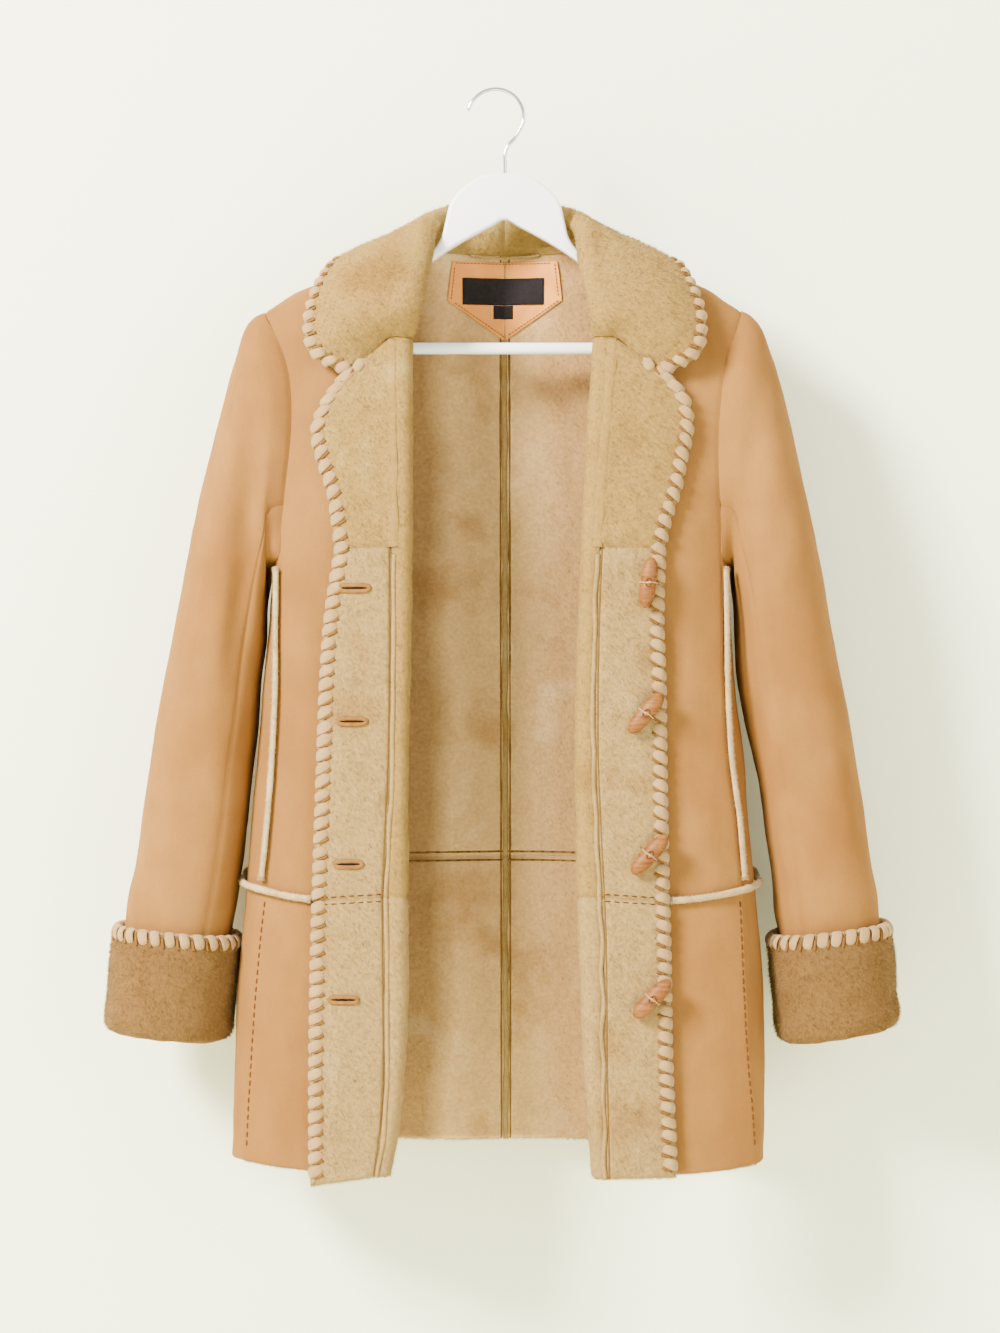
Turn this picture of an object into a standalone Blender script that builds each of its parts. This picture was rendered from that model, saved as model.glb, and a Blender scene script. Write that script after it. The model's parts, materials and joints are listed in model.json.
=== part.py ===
"""Faux shearling coat hanging open on a wooden hanger.

The cloth is double faced: suede outside, pile inside.  Every panel is a wall
lofted from one shared form, so neighbours meet at their seams 0.3 mm apart.
Tables are in millimetres; x runs to the viewer's right from the coat's centre
plane, z is measured down from the inside top of the hook, -y is the front.
"right" and "left" are the wearer's, so the right side is at -x.
"""
import math

import bmesh
import bpy
from mathutils import Vector
from mathutils.bvhtree import BVHTree

MM = 0.001
CENTRE_X = 8.0            # coat's centre plane, to the right of the hook's contact point
SEAM = 0.15               # each panel stops this far short of its seam
LAY = 0.4                 # clearance of a piece that lies on another

BODY_WALL = 7.0           # suede and pile together
FACING_WALL = 8.0         # collar, lapels and bands
SLEEVE_WALL = 6.0
CUFF_WALL = 6.5
LACED = 0.7               # share of the wall left at a laced free edge
FOLD_RADIUS = 1.5         # suede side of a turned-back fold
BODY_POWER = 5.0          # boxy section of the body
RISE = 210.0              # drop below the shoulder at which the body has its full depth
FRONT_ROUND = 0.38
BACK_ROUND = 0.30

UPPER_ROWS = 10           # shoulder seam to underarm
NECK_ROWS = 4             # of those, along the neckline
CHEST_ROWS = 5            # underarm to waist seam
SKIRT_ROWS = 5            # waist seam to hem
FLAT_COLUMNS = 5          # front, from the fold to the princess seam
BEND_STEPS = 4            # round the front fold
BAND_COLUMNS = 3          # facing seam to free edge
NECK_COLUMNS = 4          # back, centre to neck point
SHOULDER_COLUMNS = 5      # back, neck point to armhole; the front has as many
RING = 24                 # points round a sleeve, from its top over the front
UNDER_SLEEVE = (8, 16)    # of those, the front and back seams of the under sleeve

RIGHT, LEFT = -1, 1
SIDES = ((RIGHT, "right"), (LEFT, "left"))

# Shoulder line: distance from the centre, height
SHOULDER = (
    (0, -14), (40, -75), (72, -123), (114, -144.5), (168, -168), (190, -178), (212, -193.5), (240, -221),
)

# Side outline of the body: height, right half width, left half width, half depth
BODY = (
    (-190, 225, 222, 60),
    (-280, 209, 205, 60),
    (-403, 199, 191, 60),
    (-455, 201, 193, 60),
    (-511, 206.5, 196, 60),
    (-563, 210.7, 203, 60),
    (-636, 217, 208.5, 61),
    (-698, 221.9, 214.8, 62),
    (-773, 228.3, 220.2, 64),
    (-848, 231.3, 221.9, 66),
    (-910, 233, 220.5, 68),
)

# Princess seam on the front: height, right, left distance from the centre
PRINCESS = (
    (-403, 192.5, 185.0),
    (-495, 192.0, 186.0),
    (-552, 193.5, 187.5),
    (-593, 196.8, 192.0),
    (-652, 201.0, 199.5),
    (-708, 207.7, 202.0),
    (-768, 213.2, 204.5),
    (-823, 217.0, 207.5),
    (-893, 221.0, 214.0),
    (-910, 221.6, 215.0),
)

# Front edge of the armhole, from the shoulder seam down: right x, z, left x, z
ARMHOLE_FRONT = (
    (206.5, -193, 203.5, -192),
    (196, -212, 196, -211),
    (188.5, -229, 189, -228),
    (183.5, -248, 185.5, -247),
    (181.2, -269, 183, -268),
    (180.9, -291, 181, -291),
    (182.5, -313, 180.3, -313),
    (185, -336, 181, -336),
    (187.5, -358, 182, -358),
    (190, -380, 183.3, -380),
    (192.5, -403, 185, -403),
)

# Back edge of the armhole, from the shoulder seam over the ridge and down: x of the right side, z
ARMHOLE_BACK = (
    (206.5, -193), (206, -189.5), (196, -209), (189, -232), (186, -256),
    (185, -281), (185.5, -306), (187.5, -331), (189.5, -356), (191, -380), (192.5, -403),
)
UNDERARM_DROP = (0, 6, 9, 6, 0)   # of the side panel's top edge, front to back

# Inner edge of the front: neckline down to the fold's top, x and z
NECKLINE = ((80, -132), (80, -152), (81, -173), (84.5, -196), (87, -216))
# Back neckline, centre to neck point: x, z
BACK_NECK = ((0, -136), (24, -136), (46, -135), (65, -133), (80, -132))

# Outer edge of the fold (pile side): height, right, left distance from the centre
FOLD = (
    (-216, 77.5, 73.5),
    (-300, 77.2, 67.8),
    (-372, 76.8, 64.4),
    (-440, 77.6, 61.6),
    (-557, 80.2, 58.2),
    (-690, 80.6, 60.0),
    (-785, 80.9, 63.5),
    (-839, 84.4, 66.4),
    (-875, 87.3, 68.3),
    (-918, 95.0, 72.5),
)
# Seam between the turned-back front and its facing: height, right, left distance from the centre
FACING_SEAM = (
    (-216, 97, 92), (-395, 95, 79), (-557, 95.7, 75.5), (-690, 101, 81), (-740, 100.5, 82.5),
    (-840, 100, 83), (-875, 102, 84), (-920, 108, 85),
)

# Free edge of lapel and band: height, right, left distance from the centre
FREE_EDGE = (
    (-248, 134.0, 134.0),
    (-262, 142.0, 143.5),
    (-274, 153.0, 154.5),
    (-290, 161.0, 157.5),
    (-312, 159.5, 152.8),
    (-344, 149.0, 147.0),
    (-363, 145.6, 140.0),
    (-396, 141.2, 132.8),
    (-416, 145.2, 129.8),
    (-440, 148.6, 130.8),
    (-500, 153.4, 133.0),
    (-582, 156.5, 134.0),
    (-673, 159.5, 135.7),
    (-740, 161.3, 137.2),
    (-838, 162.6, 138.8),
    (-912, 162.3, 142.5),
)
LAPEL_TOP_Z = (-216, -248)        # gorge line, facing seam to notch
WAIST_Z = {
    "fold": -688.5, "edge": -692, "princess": -683, "side": -676,
    "back princess": -668, "centre back": -661,
}
HEM_Z = {
    RIGHT: {"fold": -921, "edge": -929, "mid": -918, "princess": -912, "side": -914, "back": -910},
    LEFT: {"fold": -923, "edge": -922, "mid": -921, "princess": -916, "side": -917, "back": -910},
}

# Collar by stations from the centre back round to the front:
# roll line x, y, z; middle of the fall x, y, z; outer edge x, y, z (suede side, right)
COLLAR = (
    ((0, 53, -96), (0, 67, -135), (0, 71, -184)),
    ((23, 50, -97), (34, 65, -135), (44, 69, -183)),
    ((47, 42, -104), (69, 52, -143), (88, 57, -179)),
    ((60, 22, -111), (94, 28, -133.5), (126, 26, -163)),
    ((68.5, -4, -120.5), (106, -6, -136.3), (146, -8, -154)),
    ((72, -26, -146.5), (112.5, -33, -150), (160, -30, -176.5)),
    ((77, -42, -171), (122, -51, -172), (167, -41, -201)),
    ((81, -53, -194), (124, -58, -205), (164, -49, -229)),
)

# Sleeve rings from the armhole: outer x, z and inner x, z on each side, half depth
SLEEVE = (
    ((214, -187), (199.0, -412), (210, -187), (191.0, -412), 58),
    ((221, -194), (204.0, -411), (217, -194), (196.0, -411), 60),
    ((235, -232), (204.0, -430), (233, -233), (196.0, -430), 61),
    ((248, -289), (204.5, -448), (247, -290), (197.0, -448), 61),
    ((260.5, -344), (205.0, -472), (258.5, -349), (198.0, -472), 60),
    ((274, -410), (209.0, -502), (270.5, -410), (199.5, -502), 59),
    ((287, -478), (212.0, -545), (284, -480), (206.5, -543), 58),
    ((299, -541), (217.0, -592), (297, -545), (217.0, -592), 57),
    ((309, -610), (221.5, -636), (307, -612), (223.5, -640), 56),
    ((317.5, -668), (228.5, -686), (315, -668), (230.0, -688), 55),
    ((323.5, -694), (231.0, -702), (320, -694), (230.5, -702), 54),
    ((326, -715), (235.5, -724), (321, -713), (235.0, -724), 51),
    ((332.5, -796), (245.0, -804), (327.0, -792), (243.5, -806), 49),
)
SLEEVE_POWER = 2.5
SLEEVE_TURN = math.radians(7)      # the shoulder seam meets the sleeve ahead of its ridge
# Long fold down the front of each sleeve: height, right x, left x, depth
SLEEVE_FOLD = (
    (-255, 209, 206, 0), (-300, 214, 204, 5), (-395, 218.5, 196, 7), (-473, 223.6, 198, 7),
    (-575, 231, 214, 0),
)

CUFF_LEG = 0.98           # share of the last stretch of sleeve that the cuff covers
CUFF_GAP = 1.0

TRIM_RADIUS = 3.2
# Buttonholes on the right band: x, z, length
BUTTONHOLE = ((-126.5, -429.4, 29), (-128, -541, 27), (-131, -660.4, 26), (-135, -773.5, 27))
BINDING_HALF_HEIGHT = 2.4
BINDING_RADIUS = 1.3
# Toggles on the left band: x, z, tilt
TOGGLE = ((119.5, -425, 82), (117.5, -534, 50), (120.5, -652, 48), (122.5, -772, 46))
TOGGLE_LENGTH = 43.0
# Half a toggle: radius, distance from its end
TOGGLE_PROFILE = ((0, 0), (2.8, 0.6), (5.0, 2.6), (5.6, 6.5), (6.4, 12), (7.0, 21.5))

PATCH = ((-46, -142), (46, -142), (50, -176), (0, -210), (-50, -176))
PATCH_WALL = 1.6
LABEL = (-37, 34, -179, -156)      # x range, z range
SIZE_TAB = (-10, 7, -191, -179.5)
LABEL_WALL = 0.9
LOOP = (-30, 30, -136.5, 2.5)      # x range, height, sag
LOOP_RADIUS = 1.4
LOOP_LIFT = 2.2           # of the loop from the back, at the foot of the collar

HANGER_HALF_DEPTH = 6.0
HANGER_EDGE = 2.0         # rounding
HANGER_TOP = (
    (0, -71.4), (15, -71.8), (30, -79), (47, -97), (51, -112), (55, -127), (64, -139), (80, -148.5),
    (114, -161.5), (168, -187), (188, -200), (196, -206), (198, -215), (196, -225), (190, -229),
)
HANGER_LOWER = ((184.4, -225), (184.4, -213), (114, -184), (80, -162), (62, -147), (12, -117), (0, -111))
BAR_HALF_LENGTH = 184.1
BAR_Z = -221.5
BAR_RADIUS = 5.0
HOOK_WIRE = 1.75
HOOK_ARC = 24.1
HOOK_STEM = ((13.6, -31.5), (8.5, -40.5), (3, -46.5), (0, -54), (0, -62), (0, -71))


# ---------------------------------------------------------------- helpers

def track(rows, column):
    """A smooth curve through one column of a table whose first column is the key."""
    pairs = sorted((row[0], row[column]) for row in rows)
    keys = [pair[0] for pair in pairs]
    values = [pair[1] for pair in pairs]
    last = len(keys) - 1
    slopes = []
    for i in range(len(keys)):
        low, high = max(i - 1, 0), min(i + 1, last)
        slopes.append((values[high] - values[low]) / (keys[high] - keys[low]))

    def value(key):
        if key <= keys[0]:
            return values[0]
        if key >= keys[-1]:
            return values[-1]
        i = max(k for k in range(last) if keys[k] <= key)
        span = keys[i + 1] - keys[i]
        t = (key - keys[i]) / span
        a = (1 + 2 * t) * (1 - t) ** 2 * values[i] + t * (1 - t) ** 2 * span * slopes[i]
        b = t * t * (3 - 2 * t) * values[i + 1] + t * t * (t - 1) * span * slopes[i + 1]
        return a + b

    return value


def mix(a, b, t):
    return a + (b - a) * t


def column_of(side):
    return 1 if side == RIGHT else 2


SHOULDER_Z = track(SHOULDER, 1)
HALF_WIDTH = {side: track(BODY, column_of(side)) for side, _ in SIDES}
HALF_DEPTH = track(BODY, 3)
PRINCESS_X = {side: track(PRINCESS, column_of(side)) for side, _ in SIDES}
FOLD_X = {side: track(FOLD, column_of(side)) for side, _ in SIDES}
SEAM_X = {side: track(FACING_SEAM, column_of(side)) for side, _ in SIDES}
EDGE_X = {side: track(FREE_EDGE, column_of(side)) for side, _ in SIDES}


def depth_at(side, x, z, roundness):
    """Half depth of the body at a distance x from the centre and a height z."""
    width = HALF_WIDTH[side](z)
    across = max(1 - (x / width) ** BODY_POWER, 0) ** (1 / BODY_POWER)
    drop = max(SHOULDER_Z(x) - z, 0)
    return HALF_DEPTH(z) * across * min(drop / RISE, 1) ** roundness


def flute(x, z):
    """Soft vertical folds of the back, deeper towards the hem."""
    grow = min(max((-z - 250) / 600, 0), 1)
    return 4.5 * grow * math.sin(x / 21.0 + 0.6)


def front_point(side, x, z, lift=0.0):
    return Vector((side * x, -depth_at(side, x, z, FRONT_ROUND) - lift, z))


def back_point(side, x, z):
    edge = min(max((HALF_WIDTH[side](z) - x) / 60, 0), 1)
    return Vector((side * x, depth_at(side, x, z, BACK_ROUND) + flute(side * x, z) * edge, z))


class Form:
    """Shared points of all panels, so that they agree on the direction of their walls."""

    def __init__(self):
        self.points = []
        self.ids = {}
        self.sums = []
        self.thin = {}
        self.panels = {}

    def add(self, point):
        key = tuple(round(value * 50) for value in point)
        if key not in self.ids:
            self.ids[key] = len(self.points)
            self.points.append(point.copy())
            self.sums.append([])
        return self.ids[key]

    def panel(self, name, grid, facing, wall, closed=False):
        """Add quads between the rows of a grid; None marks a missing point."""
        quads = []
        for i in range(len(grid) - 1):
            count = len(grid[i])
            for j in range(count if closed else count - 1):
                k = (j + 1) % count
                corners = (grid[i][j], grid[i][k], grid[i + 1][k], grid[i + 1][j])
                if None not in corners:
                    quads.append([self.add(corner) for corner in corners])
        first = self.quad_normal(quads[0])
        if first.dot(facing) < 0:
            quads = [quad[::-1] for quad in quads]
        for quad in quads:
            normal = self.quad_normal(quad)
            for vertex in quad:
                self.sums[vertex].append(normal)
        self.panels[name] = (quads, wall)

    def laced_edge(self, points):
        """The lacing pulls a free edge thinner than the rest of its wall."""
        for point in points:
            self.thin[self.add(point)] = LACED

    def quad_normal(self, quad):
        a, b, c, d = (self.points[vertex] for vertex in quad)
        return (c - a).cross(d - b).normalized()

    def wall_direction(self, vertex):
        total = Vector()
        for normal in self.sums[vertex]:
            total += normal
        total.normalize()
        lean = sum(total.dot(normal) for normal in self.sums[vertex]) / len(self.sums[vertex])
        return -total / max(lean, 0.75)

    def solid(self, name):
        """Outer and inner points of a panel, and its closed faces."""
        quads, wall = self.panels[name]
        used = sorted({vertex for quad in quads for vertex in quad})
        order = {vertex: i for i, vertex in enumerate(used)}
        sides = {}
        for quad in quads:
            for a, b in zip(quad, quad[1:] + quad[:1]):
                sides[(a, b)] = self.quad_normal(quad)
        rim = [(edge, normal) for edge, normal in sides.items() if edge[::-1] not in sides]
        pull = {vertex: Vector() for vertex in used}
        for (a, b), normal in rim:
            along = self.points[b] - self.points[a]
            inward = normal.cross(along).normalized() * SEAM
            pull[a] += inward
            pull[b] += inward
        outer = [self.points[vertex] + pull[vertex] for vertex in used]
        inner = []
        for vertex in used:
            depth = wall * self.thin.get(vertex, 1.0)
            inner.append(self.points[vertex] + pull[vertex] + self.wall_direction(vertex) * depth)
        count = len(used)
        faces = [[order[vertex] for vertex in quad] for quad in quads]
        faces += [[order[vertex] + count for vertex in quad[::-1]] for quad in quads]
        for (a, b), _ in rim:
            low, high = order[min(a, b)], order[max(a, b)]
            if b < a:
                faces += [[low, high, high + count], [low, high + count, low + count]]
            else:
                faces += [[high, low, high + count], [high + count, low, low + count]]
        return outer + inner, faces


def clear_scene():
    for thing in list(bpy.data.objects):
        bpy.data.objects.remove(thing, do_unlink=True)


def make_material(name, colour, roughness, metallic=0.0):
    material = bpy.data.materials.new(name)
    material.use_nodes = True
    shader = material.node_tree.nodes["Principled BSDF"]
    shader.inputs["Base Color"].default_value = (*colour, 1)
    shader.inputs["Roughness"].default_value = roughness
    shader.inputs["Metallic"].default_value = metallic
    material.diffuse_color = (*colour, 1)
    return material


class Maker:
    """Puts finished meshes and curves in the coat's collection."""

    def __init__(self):
        self.collection = bpy.data.collections.new("shearling_coat")
        bpy.context.scene.collection.children.link(self.collection)
        self.root = bpy.data.objects.new("hang_point", None)
        self.root.location.x = CENTRE_X * MM
        self.collection.objects.link(self.root)
        self.materials = {
            "suede": make_material("suede", (0.66, 0.40, 0.22), 0.85),
            "pile": make_material("pile", (0.62, 0.46, 0.28), 0.9),
            "toggle": make_material("toggle", (0.45, 0.22, 0.09), 0.45),
            "label": make_material("label", (0.03, 0.028, 0.025), 0.7),
            "cord": make_material("cord", (0.70, 0.55, 0.33), 0.6),
            "paint": make_material("paint", (0.85, 0.85, 0.83), 0.35),
            "steel": make_material("steel", (0.75, 0.75, 0.76), 0.2, 1.0),
        }

    def place(self, name, data, slot):
        thing = bpy.data.objects.new(name, data)
        data.materials.append(self.materials[slot])
        self.collection.objects.link(thing)
        thing.parent = self.root
        return thing

    def mesh(self, name, points, faces, slot):
        data = bpy.data.meshes.new(name)
        data.from_pydata([point * MM for point in points], [], faces)
        data.update()
        return self.place(name, data, slot)

    def tube(self, name, points, radius, slot, cyclic=False, sides=2):
        data = bpy.data.curves.new(name, "CURVE")
        data.dimensions = "3D"
        data.bevel_depth = radius * MM
        data.bevel_resolution = sides
        data.use_fill_caps = not cyclic
        data.resolution_u = 1
        spline = data.splines.new("POLY")
        spline.points.add(len(points) - 1)
        for target, point in zip(spline.points, points):
            target.co = (*(point * MM), 1)
        spline.use_cyclic_u = cyclic
        return self.place(name, data, slot)


# ---------------------------------------------------------------- the panels' grids

def front_rows(side):
    """Inner and outer ends (x, z) of each front row, and whether the row has the fold."""
    rows = []
    lapel_rows = UPPER_ROWS - NECK_ROWS
    for i in range(UPPER_ROWS + 1):
        arm = ARMHOLE_FRONT[i]
        outer = (arm[0], arm[1]) if side == RIGHT else (arm[2], arm[3])
        if i < NECK_ROWS:
            inner = NECKLINE[i]
        else:
            inner = (None, mix(NECKLINE[-1][1], -395, (i - NECK_ROWS) / lapel_rows))
        rows.append((inner, outer, i >= NECK_ROWS))
    for i in range(1, CHEST_ROWS + 1):
        t = i / CHEST_ROWS
        outer_z = mix(-403, WAIST_Z["princess"], t)
        rows.append(((None, mix(-395, WAIST_Z["fold"], t)), (PRINCESS_X[side](outer_z), outer_z), True))
    for i in range(1, SKIRT_ROWS + 1):
        t = i / SKIRT_ROWS
        outer_z = mix(WAIST_Z["princess"], HEM_Z[side]["princess"], t)
        inner_z = mix(WAIST_Z["fold"], HEM_Z[side]["fold"], t)
        rows.append(((None, inner_z), (PRINCESS_X[side](outer_z), outer_z), True))
    return rows


def sag(side, row, t):
    """The waist seam and hem dip between fold and princess seam."""
    waist_row = UPPER_ROWS + CHEST_ROWS
    last_row = waist_row + SKIRT_ROWS
    bump = 4 * t * (1 - t)
    if row <= UPPER_ROWS:
        return 0.0
    waist_dip = WAIST_Z["edge"] - (WAIST_Z["fold"] + WAIST_Z["princess"]) / 2
    hem_dip = HEM_Z[side]["mid"] - (HEM_Z[side]["fold"] + HEM_Z[side]["princess"]) / 2
    if row <= waist_row:
        return bump * waist_dip * (row - UPPER_ROWS) / CHEST_ROWS
    return bump * mix(waist_dip, hem_dip, (row - waist_row) / (last_row - waist_row))


def fold_points(side, z):
    """Suede-side points round the front fold, from the body up to the turned-back leg."""
    centre_x = FOLD_X[side](z) + FACING_WALL + FOLD_RADIUS
    base = front_point(side, centre_x, z)
    points = []
    for step in range(BEND_STEPS + 1):
        angle = math.pi * step / BEND_STEPS
        shift = Vector((-side * math.sin(angle), -1 + math.cos(angle), 0)) * FOLD_RADIUS
        points.append(base + shift)
    return points


def front_grid(side):
    """Rows run from the facing seam round the fold to the armhole or princess seam."""
    grid = []
    for number, (inner, outer, folded) in enumerate(front_rows(side)):
        if folded:
            bend = fold_points(side, inner[1])
            seam = front_point(side, SEAM_X[side](inner[1]), inner[1], 2 * FOLD_RADIUS)
            row = [seam] + bend[::-1]
            start_x = abs(bend[0].x)
        else:
            row = [None] * (BEND_STEPS + 1) + [front_point(side, *inner)]
            start_x = inner[0]
        for j in range(1, FLAT_COLUMNS + 1):
            t = j / FLAT_COLUMNS
            z = mix(inner[1], outer[1], t) + sag(side, number, t)
            row.append(front_point(side, mix(start_x, outer[0], t), z))
        grid.append(row)
    return grid


def band_grid(side):
    """Lapel and band rows, from the facing seam to the free edge."""
    grid = []
    rows = front_rows(side)
    waist_row = UPPER_ROWS + CHEST_ROWS
    for number, (inner, _, folded) in enumerate(rows):
        if not folded:
            continue
        start_z = inner[1]
        start_x = SEAM_X[side](start_z)
        if number <= UPPER_ROWS:
            t = (number - NECK_ROWS) / (UPPER_ROWS - NECK_ROWS)
            end_z = mix(LAPEL_TOP_Z[1], -396, t)
        elif number <= waist_row:
            end_z = mix(-396, WAIST_Z["edge"], (number - UPPER_ROWS) / CHEST_ROWS)
        else:
            end_z = mix(WAIST_Z["edge"], HEM_Z[side]["edge"], (number - waist_row) / SKIRT_ROWS)
        row = []
        for j in range(BAND_COLUMNS + 1):
            t = j / BAND_COLUMNS
            x = mix(start_x, EDGE_X[side](end_z), t)
            z = mix(start_z, end_z, t)
            row.append(front_point(side, x, z, 2 * FOLD_RADIUS + 0.6 * t))
        grid.append(row)
    return grid


def side_grid(side):
    """Side panel rows from the underarm to the hem, front princess seam to back."""
    grid = []
    for i in range(CHEST_ROWS + SKIRT_ROWS + 1):
        row = []
        for j in range(len(UNDERARM_DROP)):
            around = j / (len(UNDERARM_DROP) - 1)
            if i <= CHEST_ROWS:
                z = mix(-403 - UNDERARM_DROP[j], waist_around(around), i / CHEST_ROWS)
            else:
                z = mix(waist_around(around), hem_around(side, around), (i - CHEST_ROWS) / SKIRT_ROWS)
            row.append(side_point(side, around, z))
        grid.append(row)
    return grid


def waist_around(around):
    names = ("princess", "side", "back princess")
    a, b = (names[0], names[1]) if around <= 0.5 else (names[1], names[2])
    return mix(WAIST_Z[a], WAIST_Z[b], around * 2 if around <= 0.5 else around * 2 - 1)


def hem_around(side, around):
    hem = HEM_Z[side]
    if around <= 0.5:
        return mix(hem["princess"], hem["side"], around * 2)
    return mix(hem["side"], hem["back"], around * 2 - 1)


def side_point(side, around, z):
    if around == 0:
        return front_point(side, PRINCESS_X[side](z), z)
    if around == 1:
        return back_point(side, PRINCESS_X[side](z), z)
    width, depth = HALF_WIDTH[side](z), HALF_DEPTH(z)
    edge = depth_at(side, PRINCESS_X[side](z), z, FRONT_ROUND) / depth
    y = mix(-edge, edge, around)
    x = width * (1 - abs(y) ** BODY_POWER) ** (1 / BODY_POWER)
    return Vector((side * x, y * depth, z))


def back_grid(side):
    """Back half rows from the neck and shoulder seam to the hem, centre to armhole."""
    columns = NECK_COLUMNS + SHOULDER_COLUMNS
    tip_scale = 1.0 if side == RIGHT else ARMHOLE_FRONT[0][2] / ARMHOLE_FRONT[0][0]
    grid = []
    top = list(BACK_NECK)
    seam_tip = ARMHOLE_FRONT[0][:2] if side == RIGHT else ARMHOLE_FRONT[0][2:]
    for j in range(1, SHOULDER_COLUMNS + 1):
        t = j / SHOULDER_COLUMNS
        top.append((mix(BACK_NECK[-1][0], seam_tip[0], t), mix(BACK_NECK[-1][1], seam_tip[1], t)))
    rows = UPPER_ROWS + CHEST_ROWS + SKIRT_ROWS
    for i in range(rows + 1):
        row = []
        for j in range(columns + 1):
            across = top[j][0] / top[-1][0]
            if i == 0:
                on_front = j >= NECK_COLUMNS
                x, z = top[j]
                row.append(front_point(side, x, z) if on_front else back_point(side, x, z))
                continue
            if i <= UPPER_ROWS:
                arm_x, arm_z = ARMHOLE_BACK[i]
                arm_x *= mix(tip_scale, 185 / 192.5 if side == LEFT else 1.0, i / UPPER_ROWS)
                ridge = (top[j][0], SHOULDER_Z(top[j][0]))
                if j < NECK_COLUMNS:
                    ridge = (top[j][0], top[j][1] - 9)
                t = (i - 1) / (UPPER_ROWS - 1)
                centre_z = mix(-145, -400, t)
                fall_z = mix(centre_z, arm_z, across)
                blend = min(t * 2.2, 1)
                x = mix(ridge[0], arm_x * across, blend)
                z = mix(ridge[1] - t * 255, fall_z, blend)
                if j == columns:
                    x, z = arm_x, arm_z
            elif i <= UPPER_ROWS + CHEST_ROWS:
                t = (i - UPPER_ROWS) / CHEST_ROWS
                low = mix(WAIST_Z["centre back"], WAIST_Z["back princess"], across ** 2)
                z = mix(mix(-400, -403, across), low, t)
                x = PRINCESS_X[side](z) * across
            else:
                t = (i - UPPER_ROWS - CHEST_ROWS) / SKIRT_ROWS
                low = mix(WAIST_Z["centre back"], WAIST_Z["back princess"], across ** 2)
                z = mix(low, HEM_Z[side]["back"], t)
                x = PRINCESS_X[side](z) * across
            row.append(back_point(side, x, z))
        grid.append(row)
    return grid


def collar_grid(side, neck, lapel_top):
    """Stations from the centre back to the gorge; each runs stand, roll, fall."""
    grid = []
    for station, (roll, middle, edge) in enumerate(COLLAR):
        start = neck[station]
        roll, middle, edge = (Vector((side * p[0], p[1], p[2])) for p in (roll, middle, edge))
        outward = (middle - start)
        outward.z = 0
        outward.normalize()
        over = roll + outward * (2 * FOLD_RADIUS + 1)
        top = (roll + over) / 2 + Vector((0, 0, FOLD_RADIUS))
        row = [start, start.lerp(roll, 0.55), roll, top, over]
        for step in range(1, 5):
            t = step / 4
            row.append(over * (1 - t) ** 2 + middle * (2 * t * (1 - t)) + edge * t * t)
        grid.append(row)
    grid.append(list(lapel_top))
    return grid


def superellipse(angle, power):
    c, s = math.cos(angle), math.sin(angle)
    return math.copysign(abs(c) ** (2 / power), c), math.copysign(abs(s) ** (2 / power), s)


def ring_model(side, row, index):
    outer, inner = (row[0], row[1]) if side == RIGHT else (row[2], row[3])
    angle = 2 * math.pi * index / RING + SLEEVE_TURN * max(0, 1 - 2 * index / RING)
    c, s = superellipse(angle, SLEEVE_POWER)
    x = (outer[0] + inner[0]) / 2 + (outer[0] - inner[0]) / 2 * c
    z = (outer[1] + inner[1]) / 2 + (outer[1] - inner[1]) / 2 * c
    return Vector((side * x, -row[4] * s, z))


def sleeve_fold_push(side, point):
    if point.y > -20:
        return 0.0
    line = track(SLEEVE_FOLD, column_of(side))(point.z)
    depth = track(SLEEVE_FOLD, 3)(point.z)
    away = abs(abs(point.x) - line)
    return depth * max(1 - (away / 13) ** 2, 0)


def sleeve_grid(side, armhole):
    grid = [armhole]
    for k in range(1, len(SLEEVE)):
        follow = max(1 - k / 4.0, 0) ** 1.2
        ring = []
        for index in range(RING):
            point = ring_model(side, SLEEVE[k], index)
            point += (armhole[index] - ring_model(side, SLEEVE[0], index)) * follow
            point.y += sleeve_fold_push(side, point)
            ring.append(point)
        grid.append(ring)
    return grid


def cuff_grid(sleeve):
    """The cuff carries on from the sleeve, folds at the bottom and turns up outside."""
    above, last = sleeve[-2:]
    centre = sum(last, Vector()) / len(last)
    grid = [list(last)]
    bend = CUFF_GAP + FOLD_RADIUS / 2
    spread = [(0, 2, 0), (bend * 0.3, 2 + bend * 0.7, 0), (bend, 2 + bend, 0)]
    spread += [(bend * 1.7, 2 + bend * 0.7, 0), (bend * 2, 2, 0)]
    spread += [(bend * 2, 0, CUFF_LEG * t) for t in (0.25, 0.5, 0.75, 1.0)]
    for out, drop, up in spread:
        ring = []
        for low, high in zip(last, above):
            away = low - centre
            away.z = 0
            ring.append(low.lerp(high, up) + away.normalized() * out - Vector((0, 0, drop)))
        grid.append(ring)
    return grid


# ---------------------------------------------------------------- pieces

def armhole_ring(front, side_panel, back):
    last = UPPER_ROWS
    ring = [front[i][-1] for i in range(last + 1)]
    ring += side_panel[0][1:-1]
    ring += [back[i][-1] for i in range(last, 0, -1)]
    return ring


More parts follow.
